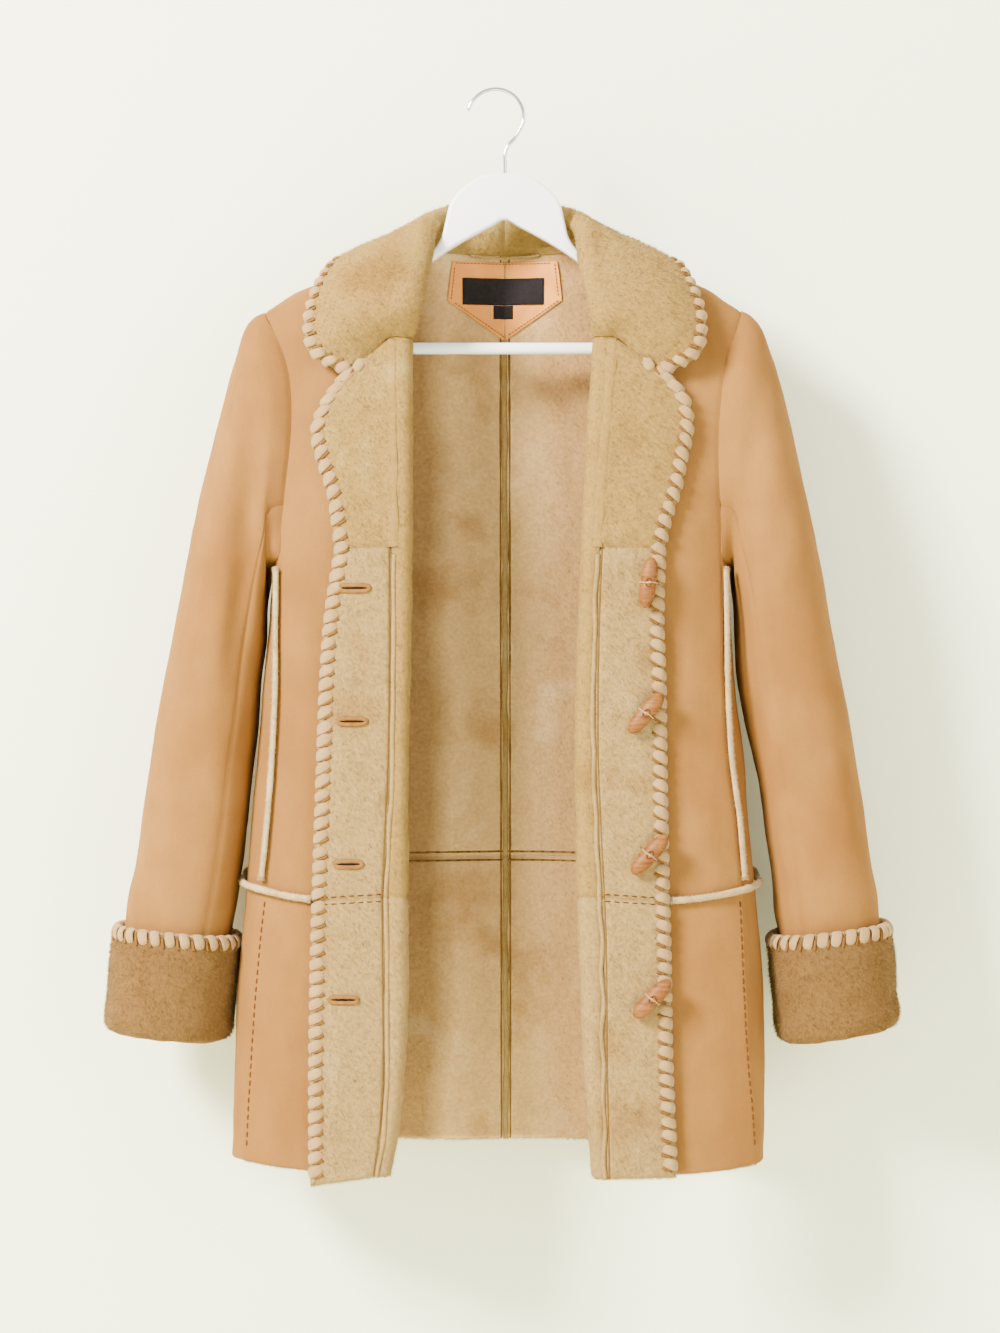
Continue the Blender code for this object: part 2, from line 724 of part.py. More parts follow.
def build_cloth(maker):
    form = Form()
    waist = UPPER_ROWS + CHEST_ROWS
    for side, label in SIDES:
        out = Vector((side, 0, 0))
        front, back, flank = front_grid(side), back_grid(side), side_grid(side)
        band = band_grid(side)
        form.panel("front_upper_" + label, front[:waist + 1], Vector((0, -1, 0)), BODY_WALL)
        form.panel("front_lower_" + label, front[waist:], Vector((0, 1, 0)), BODY_WALL)
        form.panel("back_upper_" + label, back[:waist + 1], Vector((0, 1, 0)), BODY_WALL)
        form.panel("back_lower_" + label, back[waist:], Vector((0, 1, 0)), BODY_WALL)
        form.panel("side_upper_" + label, flank[:CHEST_ROWS + 1], out, BODY_WALL)
        form.panel("side_lower_" + label, flank[CHEST_ROWS:], out, BODY_WALL)
        lapel_rows = UPPER_ROWS - NECK_ROWS
        form.panel("lapel_" + label, band[:lapel_rows + 1], Vector((0, 1, 0)), FACING_WALL)
        band_waist = lapel_rows + CHEST_ROWS
        form.panel("band_upper_" + label, band[lapel_rows:band_waist + 1], Vector((0, 1, 0)), FACING_WALL)
        form.panel("band_lower_" + label, band[band_waist:], Vector((0, 1, 0)), FACING_WALL)
        form.laced_edge([row[-1] for row in band])
        fold_row = front[NECK_ROWS]
        gorge = fold_row[1:BEND_STEPS + 2][::-1] + band[0]
        neck = back[0][:NECK_COLUMNS] + [front[i][BEND_STEPS + 1] for i in range(NECK_ROWS)]
        collar = collar_grid(side, neck, gorge)
        form.panel("collar_" + label, collar, Vector((0, 1, 0)), FACING_WALL)
        form.laced_edge([row[-1] for row in collar])
        sleeve = sleeve_grid(side, armhole_ring(front, flank, back))
        upper = [row[UNDER_SLEEVE[1]:] + row[:UNDER_SLEEVE[0] + 1] for row in sleeve]
        under = [row[UNDER_SLEEVE[0]:UNDER_SLEEVE[1] + 1] for row in sleeve]
        form.panel("sleeve_upper_" + label, upper, Vector((0, 1, 0)), SLEEVE_WALL)
        form.panel("sleeve_under_" + label, under, Vector((0, -1, -1)), SLEEVE_WALL)
        cuff = cuff_grid(sleeve)
        form.panel("cuff_" + label, cuff, out, CUFF_WALL, closed=True)
        form.laced_edge(cuff[-1])
    for name in form.panels:
        maker.mesh(name, *form.solid(name), "suede")
    return form


def surface_tree(form, *names):
    points, faces = [], []
    for name in names:
        more, quads = form.solid(name)
        faces += [[vertex + len(points) for vertex in quad] for quad in quads]
        points += more
    return BVHTree.FromPolygons(points, faces)


def build_trims(maker, form):
    waist = UPPER_ROWS + CHEST_ROWS
    for side, label in SIDES:
        front, flank, back = front_grid(side), side_grid(side), back_grid(side)
        start_x = EDGE_X[side](WAIST_Z["edge"]) + 2
        line = [point for point in front[waist][BEND_STEPS + 1:] if abs(point.x) > start_x]
        line += flank[CHEST_ROWS][1:]
        line += back[waist][-2::-1][:-1]
        maker.tube("waist_trim_" + label, lifted(form, line, TRIM_RADIUS + LAY), TRIM_RADIUS, "pile")
        seam = [front[i][-1] for i in range(UPPER_ROWS, waist + 1)]
        route = lifted(form, seam, TRIM_RADIUS - 0.2 + LAY)
        route[0] = route[0].lerp(route[1], 0.12)
        route[-1] = route[-1] + (route[-2] - route[-1]).normalized() * (2 * TRIM_RADIUS + 1.5)
        maker.tube("princess_trim_" + label, route, TRIM_RADIUS - 0.4, "pile")


def lifted(form, line, height):
    return [point - form.wall_direction(form.add(point)).normalized() * height for point in line]


def face_height(tree, x, z, from_y):
    """Where lines along y from the front, a seam's width apart, first meet the cloth."""
    found = []
    for shift in (-4 * SEAM, 0, 4 * SEAM):
        hit = tree.ray_cast(Vector((x + shift, from_y, z)), Vector((0, 1, 0)))
        if hit[0]:
            found.append(hit[0].y)
    return min(found) if found else None


def stadium(x, z, length, half_height):
    """A ring with straight sides and half-round ends."""
    half = length / 2 - half_height
    points = []
    for end in (1, -1):
        for step in range(5):
            angle = math.pi * (step / 4 - 0.5)
            turn_x = half + half_height * math.cos(angle)
            points.append((x + end * turn_x, z + end * half_height * math.sin(angle)))
        for share in (0.5, 0.0, -0.5):
            points.append((x + end * half * share, z + end * half_height))
    return points


def build_buttonholes(maker, form):
    tree = surface_tree(form, "band_upper_right", "band_lower_right", "lapel_right")
    for number, (x, z, length) in enumerate(BUTTONHOLE, 1):
        reach = length - 2 * BINDING_RADIUS
        route = []
        for px, pz in stadium(x, z, reach, BINDING_HALF_HEIGHT):
            seat = min(face_height(tree, px, pz + off, -300) for off in (-BINDING_RADIUS, 0, BINDING_RADIUS))
            route.append(Vector((px, seat - BINDING_RADIUS - LAY, pz)))
        maker.tube("buttonhole_%d" % number, route, BINDING_RADIUS, "suede", cyclic=True, sides=1)


def build_toggles(maker, form):
    tree = surface_tree(form, "band_upper_left", "band_lower_left", "lapel_left")
    for number, (x, z, tilt) in enumerate(TOGGLE, 1):
        data = bpy.data.meshes.new("toggle")
        half = [(radius, along - TOGGLE_LENGTH / 2) for radius, along in TOGGLE_PROFILE]
        rest = [(radius, -along) for radius, along in half[-2::-1]]
        profile = (half + rest)[::-1]
        links = [(i, i + 1) for i in range(len(profile) - 1)]
        data.from_pydata([(radius * MM, 0, along * MM) for radius, along in profile], links, [])
        thing = maker.place("toggle_%d" % number, data, "toggle")
        turn = thing.modifiers.new("turn", "SCREW")
        turn.steps = turn.render_steps = 10
        turn.use_merge_vertices = True
        turn.merge_threshold = 0.00005
        seats = []
        for along in (-18, -9, 0, 9, 18):
            for off in (-4, 0, 4):
                face = face_height(tree, *toggle_spot(x, z, tilt, along, off), -300)
                if face is not None:
                    seats.append(face - math.sqrt(toggle_radius(along) ** 2 - off ** 2))
        thing.location = (x * MM, (min(seats) - LAY) * MM, z * MM)
        thing.rotation_euler = (0, math.radians(90 - tilt), 0)


def toggle_radius(along):
    """Radius of a toggle at a distance from its middle."""
    from_end = TOGGLE_LENGTH / 2 - abs(along)
    return track([(row[1], row[0]) for row in TOGGLE_PROFILE], 1)(from_end)


def toggle_spot(x, z, tilt, along, off):
    across, up = math.cos(math.radians(tilt)), math.sin(math.radians(tilt))
    return x + along * across - off * up, z + along * up + off * across


def plate(maker, name, outline, tree, wall, slot, steps=6):
    """A flat outline pressed against the cloth: rows across x, columns down z."""
    xs = [mix(min(p[0] for p in outline), max(p[0] for p in outline), i / steps) for i in range(steps + 1)]
    faces = []
    back, front = [], []
    for x in xs:
        top, bottom = span_at(outline, x)
        for j in range(4):
            z = mix(top, bottom, j / 3)
            y = face_height(tree, x, z, -40)
            back.append(Vector((x, y - LAY, z)))
            front.append(Vector((x, y - LAY - wall, z)))
    points = back + front
    count = len(back)
    for i in range(steps):
        for j in range(3):
            a, b = i * 4 + j, (i + 1) * 4 + j
            faces.append([a, a + 1, b + 1, b])
            faces.append([a + count, b + count, b + 1 + count, a + 1 + count])
    loop = [i * 4 for i in range(steps + 1)] + [steps * 4 + j for j in (1, 2, 3)]
    loop += [i * 4 + 3 for i in range(steps - 1, -1, -1)] + [2, 1]
    for a, b in zip(loop, loop[1:] + loop[:1]):
        faces.append([a, b, b + count, a + count])
    mesh = maker.mesh(name, points, faces, slot)
    fix = bmesh.new()
    fix.from_mesh(mesh.data)
    bmesh.ops.recalc_face_normals(fix, faces=fix.faces)
    fix.to_mesh(mesh.data)
    fix.free()
    return points, faces


def span_at(outline, x):
    """Highest and lowest z of a convex outline at x."""
    hits = []
    for (ax, az), (bx, bz) in zip(outline, outline[1:] + outline[:1]):
        if min(ax, bx) <= x <= max(ax, bx):
            hits += [az, bz] if ax == bx else [mix(az, bz, (x - ax) / (bx - ax))]
    return max(hits), min(hits)


def rectangle(x0, x1, z0, z1):
    return [(x0, z1), (x1, z1), (x1, z0), (x0, z0)]


def build_labels(maker, form):
    tree = surface_tree(form, "back_upper_right", "back_upper_left")
    patch = plate(maker, "neck_patch", list(PATCH), tree, PATCH_WALL, "suede", steps=8)
    on_patch = BVHTree.FromPolygons(*patch)
    plate(maker, "neck_label", rectangle(*LABEL), on_patch, LABEL_WALL, "label")
    plate(maker, "size_tab", rectangle(*SIZE_TAB), on_patch, LABEL_WALL, "label", steps=2)
    x0, x1, z, drop = LOOP
    route = []
    for i in range(9):
        t = i / 8
        x, lower = mix(x0, x1, t), z - drop * 4 * t * (1 - t)
        y = face_height(tree, x, min(lower, z) - 6, -40)
        route.append(Vector((x, y - LOOP_RADIUS - LAY - LOOP_LIFT, lower)))
    maker.tube("hanging_loop", route, LOOP_RADIUS, "cord", sides=1)


def build_hanger(maker):
    half = list(HANGER_TOP) + list(HANGER_LOWER)
    outline = half + [(-x, z) for x, z in half[-2:0:-1]]
    data = bpy.data.curves.new("hanger_arms", "CURVE")
    data.dimensions = "2D"
    data.fill_mode = "BOTH"
    data.extrude = (HANGER_HALF_DEPTH - HANGER_EDGE) * MM
    data.bevel_depth = HANGER_EDGE * MM
    data.bevel_resolution = 1
    data.offset = -HANGER_EDGE * MM
    spline = data.splines.new("POLY")
    spline.points.add(len(outline) - 1)
    for target, (x, z) in zip(spline.points, outline):
        target.co = (x * MM, z * MM, 0, 1)
    spline.use_cyclic_u = True
    arms = maker.place("hanger_arms", data, "paint")
    arms.rotation_euler = (math.pi / 2, 0, 0)
    bar = [Vector((x, 0, BAR_Z)) for x in (-BAR_HALF_LENGTH, BAR_HALF_LENGTH)]
    maker.tube("trouser_bar", bar, BAR_RADIUS, "paint")
    route = []
    for step in range(15):
        angle = math.radians(168 - 180 * step / 14)
        x, z = HOOK_ARC * math.cos(angle) - CENTRE_X, HOOK_ARC * (math.sin(angle) - 1) + HOOK_WIRE
        route.append(Vector((x, 0, z)))
    route += [Vector((x, 0, z)) for x, z in HOOK_STEM]
    maker.tube("hook", route, HOOK_WIRE, "steel")


def build():
    clear_scene()
    maker = Maker()
    form = build_cloth(maker)
    build_trims(maker, form)
    build_buttonholes(maker, form)
    build_toggles(maker, form)
    build_labels(maker, form)
    build_hanger(maker)


build()
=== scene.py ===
"""Looks of the faux shearling coat on its hanger, in the frame of the CAD model."""
import json
import math

import bmesh
import bpy
import numpy as np
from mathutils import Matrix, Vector
from mathutils.bvhtree import BVHTree

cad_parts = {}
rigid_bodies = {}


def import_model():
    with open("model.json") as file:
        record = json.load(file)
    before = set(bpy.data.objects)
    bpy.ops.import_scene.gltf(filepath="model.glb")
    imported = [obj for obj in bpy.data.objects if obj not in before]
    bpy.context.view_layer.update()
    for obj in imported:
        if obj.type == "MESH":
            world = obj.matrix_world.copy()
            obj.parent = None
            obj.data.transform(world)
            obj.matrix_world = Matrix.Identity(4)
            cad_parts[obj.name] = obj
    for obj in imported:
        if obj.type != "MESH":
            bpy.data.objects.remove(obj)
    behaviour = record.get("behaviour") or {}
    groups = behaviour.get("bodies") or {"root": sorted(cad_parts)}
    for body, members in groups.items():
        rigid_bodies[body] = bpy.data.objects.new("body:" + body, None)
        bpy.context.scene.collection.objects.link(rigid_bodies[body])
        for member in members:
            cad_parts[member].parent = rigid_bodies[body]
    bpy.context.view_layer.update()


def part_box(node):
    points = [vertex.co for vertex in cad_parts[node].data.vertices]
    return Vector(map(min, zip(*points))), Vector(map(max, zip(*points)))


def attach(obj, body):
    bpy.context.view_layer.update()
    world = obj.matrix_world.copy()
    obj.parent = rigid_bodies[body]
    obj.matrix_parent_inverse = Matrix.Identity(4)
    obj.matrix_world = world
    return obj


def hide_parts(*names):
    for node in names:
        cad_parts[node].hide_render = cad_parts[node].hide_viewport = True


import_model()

MM = 0.001
CENTRE_X = 8.0            # coat's centre plane, to the right of the hook's contact point
LAY = 0.4                 # clearance of a piece that lies on another

BODY_WALL = 7.0           # suede and pile together
FACING_WALL = 8.0         # collar, lapels and bands
SLEEVE_WALL = 6.0
CUFF_WALL = 6.5
LACED = 0.7               # share of the wall left at a laced free edge
FOLD_RADIUS = 1.5         # suede side of a turned-back fold
BODY_POWER = 5.0          # boxy section of the body
RISE = 210.0              # drop below the shoulder at which the body has its full depth
FRONT_ROUND = 0.38
BACK_ROUND = 0.30

UPPER_ROWS = 10           # shoulder seam to underarm
NECK_ROWS = 4             # of those, along the neckline
CHEST_ROWS = 5            # underarm to waist seam
SKIRT_ROWS = 5            # waist seam to hem
FLAT_COLUMNS = 5          # front, from the fold to the princess seam
BEND_STEPS = 4            # round the front fold
BAND_COLUMNS = 3          # facing seam to free edge
NECK_COLUMNS = 4          # back, centre to neck point
SHOULDER_COLUMNS = 5      # back, neck point to armhole; the front has as many
RING = 24                 # points round a sleeve, from its top over the front
UNDER_SLEEVE = (8, 16)    # of those, the front and back seams of the under sleeve

RIGHT, LEFT = -1, 1
SIDES = ((RIGHT, "right"), (LEFT, "left"))

# Shoulder line: distance from the centre, height
SHOULDER = (
    (0, -14), (40, -75), (72, -123), (114, -144.5), (168, -168), (190, -178), (212, -193.5), (240, -221),
)

# Side outline of the body: height, right half width, left half width, half depth
BODY = (
    (-190, 225, 222, 60), (-280, 209, 205, 60), (-403, 199, 191, 60), (-455, 201, 193, 60),
    (-511, 206.5, 196, 60), (-563, 210.7, 203, 60), (-636, 217, 208.5, 61), (-698, 221.9, 214.8, 62),
    (-773, 228.3, 220.2, 64), (-848, 231.3, 221.9, 66), (-910, 233, 220.5, 68),
)

# Princess seam on the front: height, right, left distance from the centre
PRINCESS = (
    (-403, 192.5, 185.0), (-495, 192.0, 186.0), (-552, 193.5, 187.5), (-593, 196.8, 192.0),
    (-652, 201.0, 199.5), (-708, 207.7, 202.0), (-768, 213.2, 204.5), (-823, 217.0, 207.5),
    (-893, 221.0, 214.0), (-910, 221.6, 215.0),
)

# Front edge of the armhole, from the shoulder seam down: right x, z, left x, z
ARMHOLE_FRONT = (
    (206.5, -193, 203.5, -192), (196, -212, 196, -211), (188.5, -229, 189, -228),
    (183.5, -248, 185.5, -247), (181.2, -269, 183, -268), (180.9, -291, 181, -291),
    (182.5, -313, 180.3, -313), (185, -336, 181, -336), (187.5, -358, 182, -358), (190, -380, 183.3, -380),
    (192.5, -403, 185, -403),
)

# Back edge of the armhole, from the shoulder seam over the ridge and down: x of the right side, z
ARMHOLE_BACK = (
    (206.5, -193), (206, -189.5), (196, -209), (189, -232), (186, -256),
    (185, -281), (185.5, -306), (187.5, -331), (189.5, -356), (191, -380), (192.5, -403),
)
# Height of the underarm at the armhole, the fold, the free edge and the centre back
UNDERARM_Z, UNDERARM_FOLD_Z, UNDERARM_EDGE_Z, UNDERARM_BACK_Z = -403, -395, -396, -400
UNDERARM_DROP = (0, 6, 9, 6, 0)   # of the side panel's top edge, front to back

# Inner edge of the front: neckline down to the fold's top, x and z
NECKLINE = ((80, -132), (80, -152), (81, -173), (84.5, -196), (87, -216))
# Back neckline, centre to neck point: x, z
BACK_NECK = ((0, -136), (24, -136), (46, -135), (65, -133), (80, -132))

# Outer edge of the fold (pile side): height, right, left distance from the centre
FOLD = (
    (-216, 77.5, 73.5), (-300, 77.2, 67.8), (-372, 76.8, 64.4), (-440, 77.6, 61.6), (-557, 80.2, 58.2),
    (-690, 80.6, 60.0), (-785, 80.9, 63.5), (-839, 84.4, 66.4), (-875, 87.3, 68.3), (-918, 95.0, 72.5),
)
ROLL_FOOT_Z = -398        # where the lapel's roll ends and the fold of the skirt begins
# Seam between the turned-back front and its facing: height, right, left distance from the centre
FACING_SEAM = (
    (-216, 97, 92), (-395, 95, 79), (-557, 95.7, 75.5), (-690, 101, 81), (-740, 100.5, 82.5),
    (-840, 100, 83), (-875, 102, 84), (-920, 108, 85),
)

# Free edge of lapel and band: height, right, left distance from the centre
FREE_EDGE = (
    (-248, 134.0, 134.0), (-262, 142.0, 143.5), (-274, 153.0, 154.5), (-290, 161.0, 157.5),
    (-312, 159.5, 152.8), (-344, 149.0, 147.0), (-363, 145.6, 140.0), (-396, 141.2, 132.8),
    (-416, 145.2, 129.8), (-440, 148.6, 130.8), (-500, 153.4, 133.0), (-582, 156.5, 134.0),
    (-673, 159.5, 135.7), (-740, 161.3, 137.2), (-838, 162.6, 138.8), (-912, 162.3, 142.5),
)
LAPEL_TOP_Z = (-216, -248)        # gorge line, facing seam to notch
WAIST_Z = {
    "fold": -688.5, "edge": -692, "princess": -683, "side": -676,
    "back princess": -668, "centre back": -661,
}
HEM_Z = {
    RIGHT: {"fold": -921, "edge": -929, "mid": -918, "princess": -912, "side": -914, "back": -910},
    LEFT: {"fold": -923, "edge": -922, "mid": -921, "princess": -916, "side": -917, "back": -910},
}

# Collar by stations from the centre back round to the front:
# roll line x, y, z; middle of the fall x, y, z; outer edge x, y, z (suede side, right)
COLLAR = (
    ((0, 53, -96), (0, 67, -135), (0, 71, -184)),
    ((23, 50, -97), (34, 65, -135), (44, 69, -183)),
    ((47, 42, -104), (69, 52, -143), (88, 57, -179)),
    ((60, 22, -111), (94, 28, -133.5), (126, 26, -163)),
    ((68.5, -4, -120.5), (106, -6, -136.3), (146, -8, -154)),
    ((72, -26, -146.5), (112.5, -33, -150), (160, -30, -176.5)),
    ((77, -42, -171), (122, -51, -172), (167, -41, -201)),
    ((81, -53, -194), (124, -58, -205), (164, -49, -229)),
)

# Sleeve rings from the armhole: outer x, z and inner x, z on each side, half depth
SLEEVE = (
    ((214, -187), (199.0, -412), (210, -187), (191.0, -412), 58),
    ((221, -194), (204.0, -411), (217, -194), (196.0, -411), 60),
    ((235, -232), (204.0, -430), (233, -233), (196.0, -430), 61),
    ((248, -289), (204.5, -448), (247, -290), (197.0, -448), 61),
    ((260.5, -344), (205.0, -472), (258.5, -349), (198.0, -472), 60),
    ((274, -410), (209.0, -502), (270.5, -410), (199.5, -502), 59),
    ((287, -478), (212.0, -545), (284, -480), (206.5, -543), 58),
    ((299, -541), (217.0, -592), (297, -545), (217.0, -592), 57),
    ((309, -610), (221.5, -636), (307, -612), (223.5, -640), 56),
    ((317.5, -668), (228.5, -686), (315, -668), (230.0, -688), 55),
    ((323.5, -694), (231.0, -702), (320, -694), (230.5, -702), 54),
    ((326, -715), (235.5, -724), (321, -713), (235.0, -724), 51),
    ((332.5, -796), (245.0, -804), (327.0, -792), (243.5, -806), 49),
)
SLEEVE_POWER = 2.5
SLEEVE_TURN = math.radians(7)      # the shoulder seam meets the sleeve ahead of its ridge
# Long fold down the front of each sleeve: height, right x, left x, depth
SLEEVE_FOLD = (
    (-255, 209, 206, 0), (-300, 214, 204, 5), (-395, 218.5, 196, 7), (-473, 223.6, 198, 7),
    (-575, 231, 214, 0),
)

CUFF_LEG = 0.98           # share of the last stretch of sleeve that the cuff covers
CUFF_GAP = 1.0

TRIM_RADIUS = 3.2
# Buttonholes on the right band: x, z, length
BUTTONHOLE = ((-126.5, -429.4, 29), (-128, -541, 27), (-131, -660.4, 26), (-135, -773.5, 27))
# Toggles on the left band: x, z, tilt
TOGGLE = ((119.5, -425, 82), (117.5, -534, 50), (120.5, -652, 48), (122.5, -772, 46))
TOGGLE_LENGTH = 43.0

PATCH = ((-46, -142), (46, -142), (50, -176), (0, -210), (-50, -176))
PATCH_WALL = 1.6
LABEL = (-37, 34, -179, -156)      # x range, z range
SIZE_TAB = (-10, 7, -191, -179.5)
LOOP = (-30, 30, -136.5, 2.5)      # x range, height, sag

HANGER_HALF_DEPTH = 6.0
HANGER_TOP = (
    (0, -71.4), (15, -71.8), (30, -79), (47, -97), (51, -112), (55, -127), (64, -139), (80, -148.5),
    (114, -161.5), (168, -187), (188, -200), (196, -206), (198, -215), (196, -225), (190, -229),
)
HANGER_LOWER = ((184.4, -225), (184.4, -213), (114, -184), (80, -162), (62, -147), (12, -117), (0, -111))
BAR_HALF_LENGTH = 184.1
BAR_Z = -221.5
BAR_RADIUS = 5.0
HOOK_WIRE = 1.75
HOOK_ARC = 24.1
HOOK_STEM = ((13.6, -31.5), (8.5, -40.5), (3, -46.5), (0, -54), (0, -62), (0, -71))


# ---------------------------------------------------------------- helpers

def track(rows, column):
    """A smooth curve through one column of a table whose first column is the key."""
    pairs = sorted((row[0], row[column]) for row in rows)
    keys = [pair[0] for pair in pairs]
    values = [pair[1] for pair in pairs]
    last = len(keys) - 1
    slopes = []
    for i in range(len(keys)):
        low, high = max(i - 1, 0), min(i + 1, last)
        slopes.append((values[high] - values[low]) / (keys[high] - keys[low]))

    def value(key):
        if key <= keys[0]:
            return values[0]
        if key >= keys[-1]:
            return values[-1]
        i = max(k for k in range(last) if keys[k] <= key)
        span = keys[i + 1] - keys[i]
        t = (key - keys[i]) / span
        a = (1 + 2 * t) * (1 - t) ** 2 * values[i] + t * (1 - t) ** 2 * span * slopes[i]
        b = t * t * (3 - 2 * t) * values[i + 1] + t * t * (t - 1) * span * slopes[i + 1]
        return a + b

    return value


def mix(a, b, t):
    return a + (b - a) * t


def unit(rows):
    """Rows of vectors, each made one long."""
    return rows / np.linalg.norm(rows, axis=1, keepdims=True)


def column_of(side):
    return 1 if side == RIGHT else 2


SHOULDER_Z = track(SHOULDER, 1)
HALF_WIDTH = {side: track(BODY, column_of(side)) for side, _ in SIDES}
HALF_DEPTH = track(BODY, 3)
PRINCESS_X = {side: track(PRINCESS, column_of(side)) for side, _ in SIDES}
FOLD_X = {side: track(FOLD, column_of(side)) for side, _ in SIDES}
SEAM_X = {side: track(FACING_SEAM, column_of(side)) for side, _ in SIDES}
EDGE_X = {side: track(FREE_EDGE, column_of(side)) for side, _ in SIDES}


def depth_at(side, x, z, roundness):
    """Half depth of the body at a distance x from the centre and a height z."""
    width = HALF_WIDTH[side](z)
    across = max(1 - (x / width) ** BODY_POWER, 0) ** (1 / BODY_POWER)
    drop = max(SHOULDER_Z(x) - z, 0)
    return HALF_DEPTH(z) * across * min(drop / RISE, 1) ** roundness


def flute(x, z):
    """Soft vertical folds of the back, deeper towards the hem."""
    grow = min(max((-z - 250) / 600, 0), 1)
    return 4.5 * grow * math.sin(x / 21.0 + 0.6)


def front_point(side, x, z, lift=0.0):
    return Vector((side * x, -depth_at(side, x, z, FRONT_ROUND) - lift, z))


def back_point(side, x, z):
    edge = min(max((HALF_WIDTH[side](z) - x) / 60, 0), 1)
    return Vector((side * x, depth_at(side, x, z, BACK_ROUND) + flute(side * x, z) * edge, z))


class Form:
    """Shared points of all panels, so that they agree on the direction of their walls."""

    def __init__(self):
        self.points = []
        self.ids = {}
        self.sums = []
        self.thin = {}
        self.walls = {}

    def add(self, point):
        key = tuple(round(value * 50) for value in point)
        if key not in self.ids:
            self.ids[key] = len(self.points)
            self.points.append(point.copy())
            self.sums.append([])
        return self.ids[key]

    def panel(self, name, grid, facing, wall, closed=False):
        """Add quads between the rows of a grid; None marks a missing point."""
        quads = []
        for i in range(len(grid) - 1):
            count = len(grid[i])
            for j in range(count if closed else count - 1):
                k = (j + 1) % count
                corners = (grid[i][j], grid[i][k], grid[i + 1][k], grid[i + 1][j])
                if None not in corners:
                    quads.append([self.add(corner) for corner in corners])
        first = self.quad_normal(quads[0])
        if first.dot(facing) < 0:
            quads = [quad[::-1] for quad in quads]
        for quad in quads:
            normal = self.quad_normal(quad)
            for vertex in quad:
                self.sums[vertex].append(normal)
        self.walls[name] = wall

    def laced_edge(self, points):
        """The lacing pulls a free edge thinner than the rest of its wall."""
        for point in points:
            self.thin[self.add(point)] = LACED

    def quad_normal(self, quad):
        a, b, c, d = (self.points[vertex] for vertex in quad)
        return (c - a).cross(d - b).normalized()

    def wall_direction(self, vertex):
        total = Vector()
        for normal in self.sums[vertex]:
            total += normal
        total.normalize()
        lean = sum(total.dot(normal) for normal in self.sums[vertex]) / len(self.sums[vertex])
        return -total / max(lean, 0.75)


# ---------------------------------------------------------------- the panels' grids

def front_rows(side):
    """Inner and outer ends (x, z) of each front row, and whether the row has the fold."""
    rows = []
    lapel_rows = UPPER_ROWS - NECK_ROWS
    for i in range(UPPER_ROWS + 1):
        arm = ARMHOLE_FRONT[i]
        outer = (arm[0], arm[1]) if side == RIGHT else (arm[2], arm[3])
        if i < NECK_ROWS:
            inner = NECKLINE[i]
        else:
            inner = (None, mix(NECKLINE[-1][1], UNDERARM_FOLD_Z, (i - NECK_ROWS) / lapel_rows))
        rows.append((inner, outer, i >= NECK_ROWS))
    for i in range(1, CHEST_ROWS + 1):
        t = i / CHEST_ROWS
        outer_z = mix(UNDERARM_Z, WAIST_Z["princess"], t)
        rows.append(((None, mix(UNDERARM_FOLD_Z, WAIST_Z["fold"], t)), (PRINCESS_X[side](outer_z), outer_z), True))
    for i in range(1, SKIRT_ROWS + 1):
        t = i / SKIRT_ROWS
        outer_z = mix(WAIST_Z["princess"], HEM_Z[side]["princess"], t)
        inner_z = mix(WAIST_Z["fold"], HEM_Z[side]["fold"], t)
        rows.append(((None, inner_z), (PRINCESS_X[side](outer_z), outer_z), True))
    return rows


def sag(side, row, t):
    """The waist seam and hem dip between fold and princess seam."""
    waist_row = UPPER_ROWS + CHEST_ROWS
    last_row = waist_row + SKIRT_ROWS
    bump = 4 * t * (1 - t)
    if row <= UPPER_ROWS:
        return 0.0
    waist_dip = WAIST_Z["edge"] - (WAIST_Z["fold"] + WAIST_Z["princess"]) / 2
    hem_dip = HEM_Z[side]["mid"] - (HEM_Z[side]["fold"] + HEM_Z[side]["princess"]) / 2
    if row <= waist_row:
        return bump * waist_dip * (row - UPPER_ROWS) / CHEST_ROWS
    return bump * mix(waist_dip, hem_dip, (row - waist_row) / (last_row - waist_row))


def fold_points(side, z):
    """Suede-side points round the front fold, from the body up to the turned-back leg."""
    centre_x = FOLD_X[side](z) + FACING_WALL + FOLD_RADIUS
    base = front_point(side, centre_x, z)
    points = []
    for step in range(BEND_STEPS + 1):
        angle = math.pi * step / BEND_STEPS
        shift = Vector((-side * math.sin(angle), -1 + math.cos(angle), 0)) * FOLD_RADIUS
        points.append(base + shift)
    return points


def front_grid(side):
    """Rows run from the facing seam round the fold to the armhole or princess seam."""
    grid = []
    for number, (inner, outer, folded) in enumerate(front_rows(side)):
        if folded:
            bend = fold_points(side, inner[1])
            seam = front_point(side, SEAM_X[side](inner[1]), inner[1], 2 * FOLD_RADIUS)
            row = [seam] + bend[::-1]
            start_x = abs(bend[0].x)
        else:
            row = [None] * (BEND_STEPS + 1) + [front_point(side, *inner)]
            start_x = inner[0]
        for j in range(1, FLAT_COLUMNS + 1):
            t = j / FLAT_COLUMNS
            z = mix(inner[1], outer[1], t) + sag(side, number, t)
            row.append(front_point(side, mix(start_x, outer[0], t), z))
        grid.append(row)
    return grid


